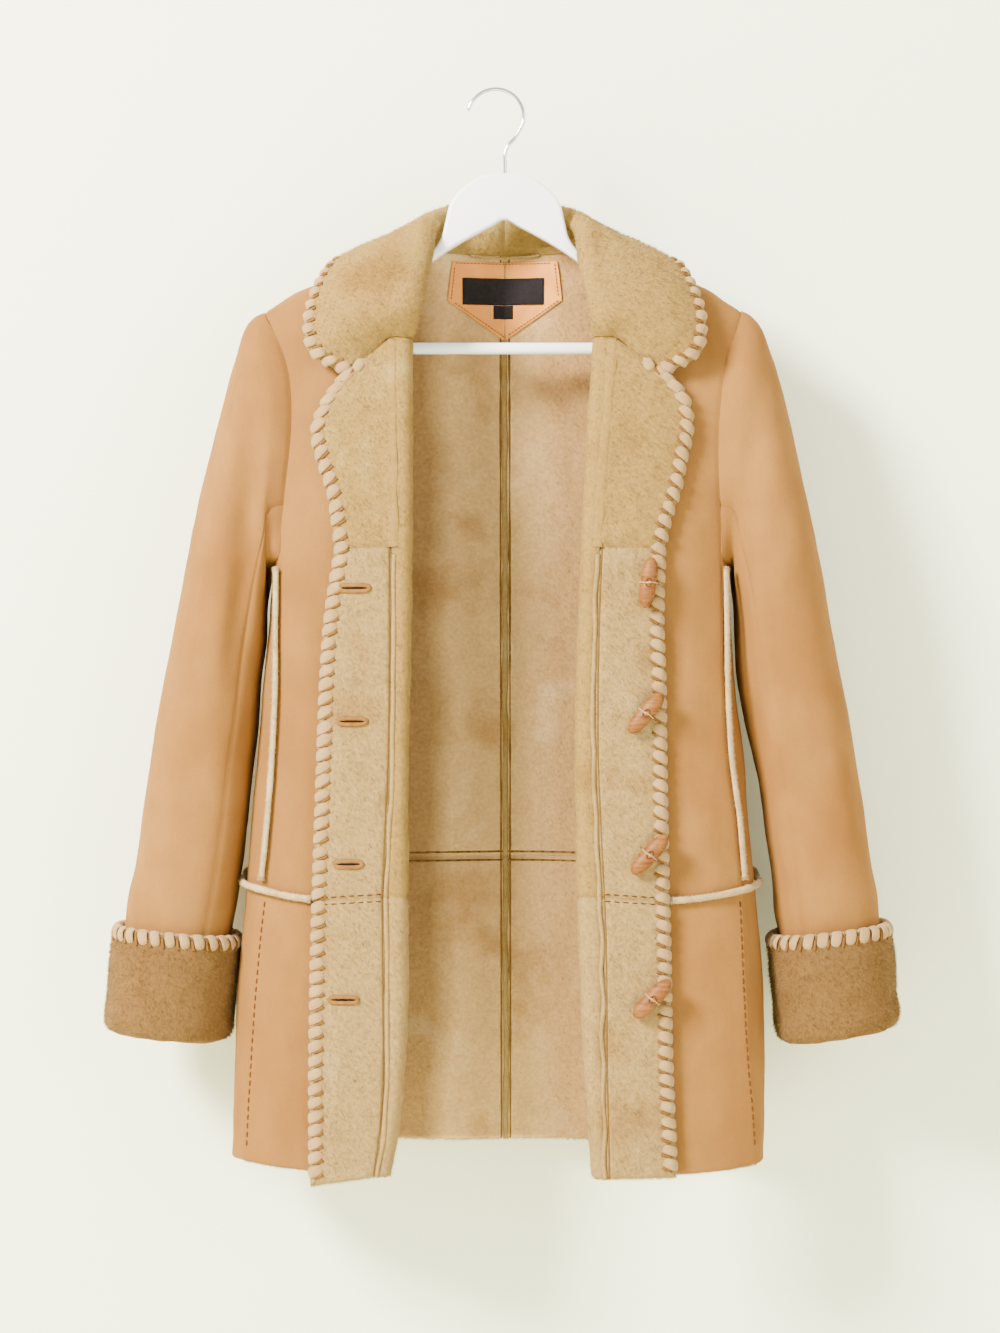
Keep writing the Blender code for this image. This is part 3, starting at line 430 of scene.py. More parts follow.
def band_grid(side):
    """Lapel and band rows, from the facing seam to the free edge."""
    grid = []
    rows = front_rows(side)
    waist_row = UPPER_ROWS + CHEST_ROWS
    for number, (inner, _, folded) in enumerate(rows):
        if not folded:
            continue
        start_z = inner[1]
        start_x = SEAM_X[side](start_z)
        if number <= UPPER_ROWS:
            t = (number - NECK_ROWS) / (UPPER_ROWS - NECK_ROWS)
            end_z = mix(LAPEL_TOP_Z[1], UNDERARM_EDGE_Z, t)
        elif number <= waist_row:
            end_z = mix(UNDERARM_EDGE_Z, WAIST_Z["edge"], (number - UPPER_ROWS) / CHEST_ROWS)
        else:
            end_z = mix(WAIST_Z["edge"], HEM_Z[side]["edge"], (number - waist_row) / SKIRT_ROWS)
        row = []
        for j in range(BAND_COLUMNS + 1):
            t = j / BAND_COLUMNS
            x = mix(start_x, EDGE_X[side](end_z), t)
            z = mix(start_z, end_z, t)
            row.append(front_point(side, x, z, 2 * FOLD_RADIUS + 0.6 * t))
        grid.append(row)
    return grid


def side_grid(side):
    """Side panel rows from the underarm to the hem, front princess seam to back."""
    grid = []
    hem = HEM_Z[side]
    for i in range(CHEST_ROWS + SKIRT_ROWS + 1):
        row = []
        for j in range(len(UNDERARM_DROP)):
            around = j / (len(UNDERARM_DROP) - 1)
            waist_z = around_flank(WAIST_Z["princess"], WAIST_Z["side"], WAIST_Z["back princess"], around)
            if i <= CHEST_ROWS:
                z = mix(UNDERARM_Z - UNDERARM_DROP[j], waist_z, i / CHEST_ROWS)
            else:
                hem_z = around_flank(hem["princess"], hem["side"], hem["back"], around)
                z = mix(waist_z, hem_z, (i - CHEST_ROWS) / SKIRT_ROWS)
            row.append(side_point(side, around, z))
        grid.append(row)
    return grid


def around_flank(front, middle, back, around):
    """Height at a share of the way round the flank, by way of its side."""
    return mix(front, middle, around * 2) if around <= 0.5 else mix(middle, back, around * 2 - 1)


def side_point(side, around, z):
    if around == 0:
        return front_point(side, PRINCESS_X[side](z), z)
    if around == 1:
        return back_point(side, PRINCESS_X[side](z), z)
    width, depth = HALF_WIDTH[side](z), HALF_DEPTH(z)
    edge = depth_at(side, PRINCESS_X[side](z), z, FRONT_ROUND) / depth
    y = mix(-edge, edge, around)
    x = width * (1 - abs(y) ** BODY_POWER) ** (1 / BODY_POWER)
    return Vector((side * x, y * depth, z))


def back_grid(side):
    """Back half rows from the neck and shoulder seam to the hem, centre to armhole."""
    columns = NECK_COLUMNS + SHOULDER_COLUMNS
    tip_scale = 1.0 if side == RIGHT else ARMHOLE_FRONT[0][2] / ARMHOLE_FRONT[0][0]
    grid = []
    top = list(BACK_NECK)
    seam_tip = ARMHOLE_FRONT[0][:2] if side == RIGHT else ARMHOLE_FRONT[0][2:]
    for j in range(1, SHOULDER_COLUMNS + 1):
        t = j / SHOULDER_COLUMNS
        top.append((mix(BACK_NECK[-1][0], seam_tip[0], t), mix(BACK_NECK[-1][1], seam_tip[1], t)))
    rows = UPPER_ROWS + CHEST_ROWS + SKIRT_ROWS
    for i in range(rows + 1):
        row = []
        for j in range(columns + 1):
            across = top[j][0] / top[-1][0]
            if i == 0:
                on_front = j >= NECK_COLUMNS
                x, z = top[j]
                row.append(front_point(side, x, z) if on_front else back_point(side, x, z))
                continue
            if i <= UPPER_ROWS:
                arm_x, arm_z = ARMHOLE_BACK[i]
                arm_x *= mix(tip_scale, 185 / 192.5 if side == LEFT else 1.0, i / UPPER_ROWS)
                ridge = (top[j][0], SHOULDER_Z(top[j][0]))
                if j < NECK_COLUMNS:
                    ridge = (top[j][0], top[j][1] - 9)
                t = (i - 1) / (UPPER_ROWS - 1)
                centre_z = mix(-145, UNDERARM_BACK_Z, t)
                fall_z = mix(centre_z, arm_z, across)
                blend = min(t * 2.2, 1)
                x = mix(ridge[0], arm_x * across, blend)
                z = mix(ridge[1] - t * 255, fall_z, blend)
                if j == columns:
                    x, z = arm_x, arm_z
            else:
                low = mix(WAIST_Z["centre back"], WAIST_Z["back princess"], across ** 2)
                if i <= UPPER_ROWS + CHEST_ROWS:
                    underarm = mix(UNDERARM_BACK_Z, UNDERARM_Z, across)
                    z = mix(underarm, low, (i - UPPER_ROWS) / CHEST_ROWS)
                else:
                    z = mix(low, HEM_Z[side]["back"], (i - UPPER_ROWS - CHEST_ROWS) / SKIRT_ROWS)
                x = PRINCESS_X[side](z) * across
            row.append(back_point(side, x, z))
        grid.append(row)
    return grid


def collar_grid(side, neck, lapel_top):
    """Stations from the centre back to the gorge; each runs stand, roll, fall."""
    grid = []
    for station, (roll, middle, edge) in enumerate(COLLAR):
        start = neck[station]
        roll, middle, edge = (Vector((side * p[0], p[1], p[2])) for p in (roll, middle, edge))
        outward = (middle - start)
        outward.z = 0
        outward.normalize()
        over = roll + outward * (2 * FOLD_RADIUS + 1)
        top = (roll + over) / 2 + Vector((0, 0, FOLD_RADIUS))
        row = [start, start.lerp(roll, 0.55), roll, top, over]
        for step in range(1, 5):
            t = step / 4
            row.append(over * (1 - t) ** 2 + middle * (2 * t * (1 - t)) + edge * t * t)
        grid.append(row)
    grid.append(list(lapel_top))
    return grid


def superellipse(angle, power):
    c, s = math.cos(angle), math.sin(angle)
    return math.copysign(abs(c) ** (2 / power), c), math.copysign(abs(s) ** (2 / power), s)


def ring_model(side, row, index):
    outer, inner = (row[0], row[1]) if side == RIGHT else (row[2], row[3])
    angle = 2 * math.pi * index / RING + SLEEVE_TURN * max(0, 1 - 2 * index / RING)
    c, s = superellipse(angle, SLEEVE_POWER)
    x = (outer[0] + inner[0]) / 2 + (outer[0] - inner[0]) / 2 * c
    z = (outer[1] + inner[1]) / 2 + (outer[1] - inner[1]) / 2 * c
    return Vector((side * x, -row[4] * s, z))


def sleeve_fold_push(side, point):
    if point.y > -20:
        return 0.0
    line = track(SLEEVE_FOLD, column_of(side))(point.z)
    depth = track(SLEEVE_FOLD, 3)(point.z)
    away = abs(abs(point.x) - line)
    return depth * max(1 - (away / 13) ** 2, 0)


def sleeve_grid(side, armhole):
    grid = [armhole]
    for k in range(1, len(SLEEVE)):
        follow = max(1 - k / 4.0, 0) ** 1.2
        ring = []
        for index in range(RING):
            point = ring_model(side, SLEEVE[k], index)
            point += (armhole[index] - ring_model(side, SLEEVE[0], index)) * follow
            point.y += sleeve_fold_push(side, point)
            ring.append(point)
        grid.append(ring)
    return grid


def cuff_grid(sleeve):
    """The cuff carries on from the sleeve, folds at the bottom and turns up outside."""
    above, last = sleeve[-2:]
    centre = sum(last, Vector()) / len(last)
    grid = [list(last)]
    bend = CUFF_GAP + FOLD_RADIUS / 2
    spread = [(0, 2, 0), (bend * 0.3, 2 + bend * 0.7, 0), (bend, 2 + bend, 0)]
    spread += [(bend * 1.7, 2 + bend * 0.7, 0), (bend * 2, 2, 0)]
    spread += [(bend * 2, 0, CUFF_LEG * t) for t in (0.25, 0.5, 0.75, 1.0)]
    for out, drop, up in spread:
        ring = []
        for low, high in zip(last, above):
            away = low - centre
            away.z = 0
            ring.append(low.lerp(high, up) + away.normalized() * out - Vector((0, 0, drop)))
        grid.append(ring)
    return grid


def armhole_ring(front, side_panel, back):
    ring = [row[-1] for row in front[:UPPER_ROWS + 1]] + side_panel[0][1:-1]
    return ring + [back[i][-1] for i in range(UPPER_ROWS, 0, -1)]


# ---------------------------------------------------------------- fine walls

FINE = 6.0                # spacing of the fine walls' points
EDGE_LINES = (0.5, 1.5, 3.2)      # extra lines this far from each edge


def gaps_of(points):
    """Mean length of each gap along the first axis of an array of points."""
    return np.linalg.norm(points[1:] - points[:-1], axis=2).mean(axis=1)


def sample_line(lengths, closed, spacing):
    """Gap numbers and shares at which a line of known gap lengths is sampled."""
    picks = []
    last = len(lengths) - 1
    for gap, length in enumerate(lengths):
        count = max(1, int(math.ceil(length / spacing)))
        shares = [i / count for i in range(count)]
        if not closed and gap == 0 and length > 8:
            shares += [line / length for line in EDGE_LINES]
        if not closed and gap == last:
            shares += [1 - line / length for line in EDGE_LINES] if length > 8 else []
            shares.append(1.0)
        picks += [(gap, share) for share in sorted(shares)]
    return picks


def refine(points, closed, spacing, picks=None):
    """Smooth curve through the points along the first axis, by chord length."""
    count = len(points)
    after = np.roll(points, -1, axis=0)
    before = np.roll(points, 1, axis=0)
    step = np.maximum(np.linalg.norm(after - points, axis=2, keepdims=True), 1e-6)
    back = np.roll(step, 1, axis=0)
    forward_slope = (after - points) / step
    backward_slope = (points - before) / back
    slope = (forward_slope * back + backward_slope * step) / (step + back)
    if not closed:
        slope[0] = forward_slope[0]
        slope[-1] = backward_slope[-1]
    if picks is None:
        picks = sample_line(step[:, :, 0].mean(axis=1)[:count if closed else count - 1], closed, spacing)
    rows = []
    for gap, t in picks:
        end = (gap + 1) % count
        a = (1 + 2 * t) * (1 - t) ** 2 * points[gap] + t * (1 - t) ** 2 * step[gap] * slope[gap]
        b = t * t * (3 - 2 * t) * points[end] + t * t * (t - 1) * step[gap] * slope[end]
        rows.append(a + b)
    return np.array(rows), picks


class Wall:
    """Fine suede and pile surfaces of one panel, as arrays of rows and columns."""

    def __init__(self, form, grid, name, closed, spacing=FINE):
        wall = form.walls[name]
        rows, columns = len(grid), len(grid[0])
        suede = np.zeros((rows, columns, 3))
        pile = np.zeros((rows, columns, 3))
        self.holes = np.zeros((rows, columns), bool)
        for i in range(rows):
            for j in range(columns):
                point = grid[i][j]
                if point is None:
                    self.holes[i, j] = True
                    continue
                vertex = form.add(point)
                depth = wall * form.thin.get(vertex, 1.0)
                suede[i, j] = point
                pile[i, j] = point + form.wall_direction(vertex) * depth
        for i in range(rows - 1, -1, -1):
            for j in range(columns):
                if self.holes[i, j]:
                    suede[i, j] = suede[i + 1, j]
                    pile[i, j] = pile[i + 1, j]
        middle = (suede + pile) / 2
        self.row_picks = sample_line(gaps_of(middle), False, spacing)
        across = np.linalg.norm(np.roll(middle, -1, axis=1) - middle, axis=2).mean(axis=0)
        self.column_picks = sample_line(across if closed else across[:-1], closed, spacing)
        self.closed = closed
        self.name = name
        surfaces = []
        for part in (suede, pile):
            fine, _ = refine(part, False, spacing, self.row_picks)
            fine, _ = refine(fine.transpose(1, 0, 2), closed, spacing, self.column_picks)
            surfaces.append(fine.transpose(1, 0, 2).copy())
        self.suede, self.pile = surfaces
        self.suede_base = self.suede.copy()
        self.missing = self.missing_quads()

    def missing_quads(self):
        rows, columns = self.suede.shape[:2]
        missing = np.zeros((rows, columns), bool)
        for i, (gap_i, _) in enumerate(self.row_picks):
            for j, (gap_j, _) in enumerate(self.column_picks):
                missing[i, j] = self.holes[gap_i:gap_i + 2, gap_j:gap_j + 2].any()
        return missing

    def edge_distance(self):
        """Distances of each point from the first row, last row, first column and last column."""
        middle = (self.suede_base + self.pile) / 2
        down = np.linalg.norm(np.diff(middle, axis=0), axis=2)
        along = np.linalg.norm(np.diff(middle, axis=1), axis=2)
        top = np.vstack((np.zeros((1, down.shape[1])), np.cumsum(down, axis=0)))
        left = np.hstack((np.zeros((along.shape[0], 1)), np.cumsum(along, axis=1)))
        return top, top[-1:] - top, left, left[:, -1:] - left

    def outward(self):
        way = self.suede - self.pile
        return way / np.maximum(np.linalg.norm(way, axis=2, keepdims=True), 1e-9)

    def soften(self, seams, free):
        """Dip both surfaces at seams and round them at free edges; edges are numbered as in edge_distance."""
        distance = self.edge_distance()
        out = self.outward()
        thickness = np.linalg.norm(self.suede - self.pile, axis=2, keepdims=True)
        for number in seams:
            dip = np.exp(-(distance[number] / 3.0) ** 2)[:, :, None]
            if number == START and self.name.startswith("front_upper"):
                dip = dip * (self.pile[:, :, 2:] < ROLL_FOOT_Z)
            self.suede -= out * dip * 1.1
            self.pile += out * dip * 1.8
        for number in free:
            share = np.clip(1 - distance[number] / 3.4, 0, 1)[:, :, None]
            pinch = (1 - np.sqrt(np.maximum(1 - share ** 2, 0))) * thickness * 0.42
            self.suede -= out * pinch
            self.pile += out * pinch

    def faces(self):
        rows, columns = self.suede.shape[:2]
        wrap = columns if self.closed else columns - 1
        return [(i * columns + j, i * columns + (j + 1) % columns,
                 (i + 1) * columns + (j + 1) % columns, (i + 1) * columns + j)
                for i in range(rows - 1) for j in range(wrap) if not self.missing[i, j]]


def noise_at(points, scale, seed):
    """Smooth value noise between -1 and 1 on points in millimetres."""
    spots = np.asarray(points, float) / scale + seed * 17.31
    cell = np.floor(spots).astype(np.int64)
    part = spots - cell
    part = part * part * (3 - 2 * part)
    total = np.zeros(spots.shape[:-1])
    for corner in range(8):
        shift = np.array([corner & 1, corner >> 1 & 1, corner >> 2 & 1])
        key = cell + shift
        mixed = key[..., 0] * 73856093 ^ key[..., 1] * 19349663 ^ key[..., 2] * 83492791
        mixed = (mixed ^ (mixed >> 13)) * 1274126177 & 0x7FFFFFFF
        value = mixed / 0x3FFFFFFF - 1
        weight = np.ones(spots.shape[:-1])
        for axis in range(3):
            weight = weight * (part[..., axis] if shift[axis] else 1 - part[..., axis])
        total += value * weight
    return total


# ---------------------------------------------------------------- materials

class Nodes:
    """Short names for building a material's nodes."""

    def __init__(self, name):
        self.material = bpy.data.materials.new(name)
        self.material.use_nodes = True
        self.tree = self.material.node_tree
        self.shader = self.tree.nodes["Principled BSDF"]
        self.place = self.tree.nodes.new("ShaderNodeTexCoord").outputs["Object"]

    def set(self, **values):
        for name, value in values.items():
            name = name.replace("_", " ").title().replace("Ior", "IOR")
            self.shader.inputs[name].default_value = value
        return self

    def link(self, source, target):
        self.tree.links.new(source, target)

    def noise(self, scale, detail=3.0, stretch=None, roughness=0.5):
        node = self.tree.nodes.new("ShaderNodeTexNoise")
        node.inputs["Scale"].default_value = scale
        node.inputs["Detail"].default_value = detail
        node.inputs["Roughness"].default_value = roughness
        source = self.place
        if stretch:
            mapping = self.tree.nodes.new("ShaderNodeMapping")
            mapping.inputs["Scale"].default_value = stretch
            self.link(source, mapping.inputs["Vector"])
            source = mapping.outputs["Vector"]
        self.link(source, node.inputs["Vector"])
        return node.outputs["Fac"]

    def ramp(self, source, stops):
        node = self.tree.nodes.new("ShaderNodeValToRGB")
        ramp = node.color_ramp
        while len(ramp.elements) < len(stops):
            ramp.elements.new(0.5)
        for element, (spot, colour) in zip(ramp.elements, stops):
            element.position = spot
            element.color = (*colour, 1)
        self.link(source, node.inputs["Fac"])
        return node.outputs["Color"]

    def multiply(self, a, b):
        node = self.tree.nodes.new("ShaderNodeMix")
        node.data_type = "RGBA"
        node.blend_type = "MULTIPLY"
        node.inputs["Factor"].default_value = 1.0
        self.link(a, node.inputs[6])
        self.link(b, node.inputs[7])
        return node.outputs[2]

    def maths(self, how, a, b):
        node = self.tree.nodes.new("ShaderNodeMath")
        node.operation = how
        for value, socket in ((a, node.inputs[0]), (b, node.inputs[1])):
            if hasattr(value, "links"):
                self.link(value, socket)
            else:
                socket.default_value = value
        return node.outputs[0]

    def bump(self, height, strength, distance):
        node = self.tree.nodes.new("ShaderNodeBump")
        node.inputs["Strength"].default_value = strength
        node.inputs["Distance"].default_value = distance
        self.link(height, node.inputs["Height"])
        self.link(node.outputs["Normal"], self.shader.inputs["Normal"])

    def painted_fold_shading(self):
        """Painted shade beside each front, where the fronts shade the inside back, and painted highlight between,
        across the width.
        """
        node = self.tree.nodes.new("ShaderNodeSeparateXYZ")
        self.link(self.place, node.inputs[0])
        across = self.maths("ADD", node.outputs[0], self.maths("MULTIPLY", self.noise(9, 2), 0.03))
        share = self.maths("ADD", self.maths("MULTIPLY", across, 4.0), 0.44)
        dark, mid = (0.56, 0.50, 0.44), (0.96, 0.95, 0.94)
        return self.ramp(share, [(0.0, dark), (0.26, dark), (0.35, (1.1, 1.1, 1.1)), (0.44, mid),
                                 (0.56, (1.12, 1.12, 1.12)), (0.65, mid), (0.74, (0.66, 0.60, 0.54)),
                                 (1.0, dark)])

    def colour(self, source):
        self.link(source, self.shader.inputs["Base Color"])


def linear(*srgb):
    """Linear colour from sRGB values of 0 to 255."""
    result = []
    for value in srgb:
        share = value / 255
        result.append(share / 12.92 if share <= 0.04045 else ((share + 0.055) / 1.055) ** 2.4)
    return tuple(result)


# The studio light is strong and washes colours out, so each cloth's own colour is deepened by these
TONES = {
    "suede": (0.327, 0.255, 0.117), "pile": (0.356, 0.322, 0.160), "pale": (0.367, 0.326, 0.192),
    "inside": (0.74, 0.71, 0.585), "cuff": (0.222, 0.184, 0.122), "patch": (0.95, 0.68, 0.31),
    "lace": (0.42, 0.365, 0.23), "trim": (0.60, 0.55, 0.39), "brown": (0.30, 0.24, 0.10),
    "black": (0.09, 0.08, 0.09), "as it is": (1.0, 1.0, 1.0),
}


def toned(tone, *srgb):
    """Linear colour from sRGB values, deepened for its cloth."""
    return tuple(value * share for value, share in zip(linear(*srgb), TONES[tone]))


def suede_material():
    """Napped suede: brushed patches, drawn-out nap streaks and a fine grain."""
    n = Nodes("suede_nap")
    n.set(roughness=0.92, sheen_weight=0.12, sheen_roughness=0.45, specular_ior_level=0.08)
    n.shader.inputs["Sheen Tint"].default_value = (*toned("suede", 255, 225, 190), 1)
    patches = n.ramp(n.noise(11, 3), [(0.32, toned("suede", 208, 158, 110)),
                                      (0.68, toned("suede", 222, 175, 130))])
    streaks = n.noise(30, 3, stretch=(1.6, 1.6, 0.8))
    shade = n.ramp(streaks, [(0.3, (0.92, 0.91, 0.90)), (0.7, (1.06, 1.06, 1.06))])
    mixed = n.multiply(patches, shade)
    grain = n.noise(900, 2)
    fine = n.ramp(grain, [(0.25, (0.93, 0.93, 0.93)), (0.75, (1.06, 1.06, 1.06))])
    n.colour(n.multiply(mixed, fine))
    n.bump(n.maths("ADD", n.maths("MULTIPLY", n.noise(1500, 2), 0.6), n.noise(160, 3)), 0.35, 0.0006)
    return n.material


def pile_material(name, tone, low, middle, high):
    """Plush pile: patches where the nap is stroked either way, with a short curly grain."""
    n = Nodes(name)
    n.set(roughness=1.0, sheen_weight=0.25, sheen_roughness=0.5, specular_ior_level=0.08)
    n.shader.inputs["Sheen Tint"].default_value = (*toned(tone, 255, 245, 225), 1)
    low, middle, high = (toned(tone, *colour) for colour in (low, middle, high))
    patches = n.ramp(n.noise(13, 3.0, roughness=0.55),
                     [(0.30, low), (0.45, middle), (0.60, middle), (0.74, high)])
    curls = n.ramp(n.noise(330, 2.5), [(0.28, (0.86, 0.85, 0.83)), (0.72, (1.11, 1.11, 1.11))])
    mixed = n.multiply(patches, curls)
    # the inside back gets painted shade beside each front and painted highlight between
    if tone == "inside":
        mixed = n.multiply(mixed, n.painted_fold_shading())
    n.colour(mixed)
    n.bump(n.maths("ADD", n.noise(420, 3), n.noise(130, 2)), 0.3, 0.0012)
    return n.material


def lace_material():
    n = Nodes("lace")
    n.set(roughness=0.85, sheen_weight=0.1, specular_ior_level=0.1)
    n.colour(n.ramp(n.noise(90, 3), [(0.3, toned("lace", 212, 178, 140)),
                                     (0.7, toned("lace", 230, 200, 164))]))
    n.bump(n.noise(1300, 2), 0.3, 0.0004)
    return n.material


def plain_material(name, low, high, roughness, scale, bump=0.0, metallic=0.0):
    n = Nodes(name)
    n.set(roughness=roughness, metallic=metallic, specular_ior_level=0.5 if roughness < 0.4 else 0.1)
    n.colour(n.ramp(n.noise(scale, 3), [(0.3, low), (0.7, high)]))
    if bump:
        n.bump(n.noise(900, 2), bump, 0.0003)
    return n.material


def toggle_material():
    n = Nodes("toggle_grain")
    n.set(roughness=0.55, specular_ior_level=0.22)
    grain = n.noise(60, 4, stretch=(1, 1, 7))
    n.colour(n.ramp(grain, [(0.3, toned("brown", 160, 96, 48)), (0.55, toned("brown", 206, 140, 82)),
                            (0.75, toned("brown", 226, 170, 112))]))
    n.bump(n.noise(220, 3, stretch=(1, 1, 4)), 0.25, 0.0004)
    return n.material


PILES = {               # key: name, tone, nap stroked down, middle, nap stroked up
    "pile": ("pile_gold", "pile", (192, 152, 104), (214, 178, 130), (230, 204, 164)),
    "pile_pale": ("pile_pale", "pale", (198, 162, 116), (220, 189, 146), (236, 216, 184)),
    "pile_inside": ("pile_inside", "inside", (178, 138, 92), (204, 168, 120), (220, 192, 150)),
    "pile_cuff": ("pile_cuff", "cuff", (176, 134, 86), (198, 158, 108), (214, 180, 134)),
    "trim": ("trim_pile", "trim", (206, 178, 146), (224, 200, 170), (238, 220, 196)),
}
PLAIN = {               # key: name, tone, darker, lighter, roughness, noise scale, bump
    "thread": ("thread", "suede", (130, 82, 50), (156, 104, 70), 0.8, 400, 0.0),
    "dark_thread": ("dark_thread", "brown", (110, 76, 48), (140, 102, 70), 0.85, 400, 0.0),
    "toggle_dark": ("toggle_ring", "brown", (130, 74, 38), (160, 98, 54), 0.5, 200, 0.0),
    "label": ("label_weave", "black", (90, 84, 82), (110, 104, 102), 0.8, 500, 0.3),
    "cord": ("loop_cord", "lace", (196, 160, 110), (238, 214, 170), 0.55, 700, 0.3),
    "paint": ("white_paint", "as it is", (236, 236, 233), (241, 241, 239), 0.35, 12, 0.05),
    "steel": ("chrome_wire", "as it is", (205, 205, 208), (222, 222, 225), 0.12, 40, 0.0),
    "binding": ("binding_suede", "brown", (190, 140, 100), (214, 168, 128), 0.85, 200, 0.3),
    # painted shade in the gaps between lace stitches
    "notch": ("lace_notch", "brown", (176, 128, 92), (196, 150, 112), 1.0, 300, 0.0),
    # painted shade along the seams
    "crease": ("seam_crease", "pile", (150, 112, 74), (172, 132, 92), 1.0, 200, 0.0),
    "slit": ("slit_shade", "brown", (40, 22, 14), (52, 30, 18), 0.9, 300, 0.0),
    "patch": ("patch_suede", "patch", (206, 152, 104), (222, 172, 124), 0.9, 45, 0.35),
}


def make_materials():
    made = {"suede": suede_material(), "lace": lace_material(), "toggle": toggle_material()}
    made.update({key: pile_material(*look) for key, look in PILES.items()})
    for key, (name, tone, low, high, roughness, scale, bump) in PLAIN.items():
        made[key] = plain_material(name, toned(tone, *low), toned(tone, *high), roughness, scale, bump,
                                   1.0 if key == "steel" else 0.0)
    return made


MATERIALS = make_materials()
COLLECTION = bpy.data.collections.new("coat_looks")
bpy.context.scene.collection.children.link(COLLECTION)


def place_piece(name, data, materials, replaces):
    """Give a mesh its materials, and its object a place in the frame."""
    for key in materials:
        data.materials.append(MATERIALS[key])
    thing = bpy.data.objects.new(name, data)
    COLLECTION.objects.link(thing)
    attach(thing, "root")
    if replaces:
        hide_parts(*replaces)
    return thing


def new_piece(name, points, faces, materials, which=None, replaces=()):
    """A mesh piece from points in millimetres of the coat's own plane."""
    data = bpy.data.meshes.new(name)
    points = np.asarray(points, dtype=np.float64).reshape(-1, 3) * MM
    points[:, 0] += CENTRE_X * MM
    data.from_pydata(points.tolist(), [], faces)
    if which is not None:
        data.polygons.foreach_set("material_index", np.asarray(which, dtype=np.int32))
    data.polygons.foreach_set("use_smooth", np.ones(len(data.polygons), bool))
    data.update()
    return place_piece(name, data, materials, replaces)


# ---------------------------------------------------------------- panels

TOP, BOTTOM, START, END = range(4)      # edges of a wall: first row, last row, first column, last column


def cloth_grids():
    """The panels' grids by node name, laid out as in the CAD model."""
    form = Form()
    grids = {}
    waist = UPPER_ROWS + CHEST_ROWS
    lapel_rows = UPPER_ROWS - NECK_ROWS
    band_waist = lapel_rows + CHEST_ROWS
    back_way = Vector((0, 1, 0))
    for side, label in SIDES:
        out = Vector((side, 0, 0))
        front, back, flank, band = front_grid(side), back_grid(side), side_grid(side), band_grid(side)
        gorge = front[NECK_ROWS][1:BEND_STEPS + 2][::-1] + band[0]
        neck = back[0][:NECK_COLUMNS] + [front[i][BEND_STEPS + 1] for i in range(NECK_ROWS)]
        collar = collar_grid(side, neck, gorge)
        sleeve = sleeve_grid(side, armhole_ring(front, flank, back))
        upper = [row[UNDER_SLEEVE[1]:] + row[:UNDER_SLEEVE[0] + 1] for row in sleeve]
        under = [row[UNDER_SLEEVE[0]:UNDER_SLEEVE[1] + 1] for row in sleeve]
        cuff = cuff_grid(sleeve)
        parts = (
            ("front_upper_", front[:waist + 1], -back_way, BODY_WALL, False),
            ("front_lower_", front[waist:], back_way, BODY_WALL, False),
            ("back_upper_", back[:waist + 1], back_way, BODY_WALL, False),
            ("back_lower_", back[waist:], back_way, BODY_WALL, False),
            ("side_upper_", flank[:CHEST_ROWS + 1], out, BODY_WALL, False),
            ("side_lower_", flank[CHEST_ROWS:], out, BODY_WALL, False),
            ("lapel_", band[:lapel_rows + 1], back_way, FACING_WALL, False),
            ("band_upper_", band[lapel_rows:band_waist + 1], back_way, FACING_WALL, False),
            ("band_lower_", band[band_waist:], back_way, FACING_WALL, False),
            ("collar_", collar, back_way, FACING_WALL, False),
            ("sleeve_upper_", upper, back_way, SLEEVE_WALL, False),
            ("sleeve_under_", under, Vector((0, -1, -1)), SLEEVE_WALL, False),
            ("cuff_", cuff, out, CUFF_WALL, True),
        )
        for start, grid, facing, wall, closed in parts:
            form.panel(start + label, grid, facing, wall, closed)
            grids[start + label] = (grid, closed)
        form.laced_edge([row[-1] for row in band])
        form.laced_edge([row[-1] for row in collar])
        form.laced_edge(cuff[-1])
    return form, grids


FORM, GRIDS = cloth_grids()
WALLS = {name: Wall(FORM, grid, name, closed) for name, (grid, closed) in GRIDS.items()}

EDGES = {                # seams and free edges of each kind of panel
    "front_upper": ((TOP, BOTTOM, START, END), ()),
    "front_lower": ((TOP, START, END), (BOTTOM,)),
    "back_upper": ((TOP, BOTTOM, START, END), ()),
    "back_lower": ((TOP, START, END), (BOTTOM,)),
    "side_upper": ((TOP, BOTTOM, START, END), ()),
    "side_lower": ((TOP, START, END), (BOTTOM,)),
    "lapel": ((TOP, BOTTOM), (END,)),
    "band_upper": ((TOP, BOTTOM, START), (END,)),
    "band_lower": ((TOP, START), (END, BOTTOM)),
    "collar": ((TOP, BOTTOM, START), (END,)),
    "sleeve_upper": ((TOP, START, END), ()),
    "sleeve_under": ((TOP, START, END), ()),
    "cuff": ((TOP,), (BOTTOM,)),
}
PILE_OF = {"lapel": "pile", "band_upper": "pile_pale", "band_lower": "pile_pale", "collar": "pile",
           "cuff": "pile_cuff", "front_upper": "pile", "front_lower": "pile_pale"}


def kind_of(name):
    return name.rsplit("_", 1)[0]


def drape(wall):
    """Small uneven waves of the suede, and clumps of the pile."""
    kind = kind_of(wall.name)
    out = wall.outward()
    edge = np.minimum.reduce(wall.edge_distance()[:2] if wall.closed else wall.edge_distance())
    calm = np.clip(edge / 14, 0, 1)[:, :, None]
    wave = noise_at(wall.suede * (1, 1, 0.55), 38, 3) * 1.1 + noise_at(wall.suede, 15, 5) * 0.35
    wall.suede = wall.suede + out * (wave - 0.5)[:, :, None] * calm
    clump = noise_at(wall.pile, 13, 8) * 0.8 + noise_at(wall.pile, 5.5, 9) * 0.45
    wall.pile = wall.pile - out * clump[:, :, None] * np.clip(edge / 5, 0, 1)[:, :, None]
    seams, free = EDGES[kind]
    wall.soften(seams, free)


def rim(quads):
    """Edges that belong to one face only."""
    edges = {(quad[k], quad[(k + 1) % 4]): True for quad in quads for k in range(4)}
    return [edge for edge in edges if edge[::-1] not in edges]


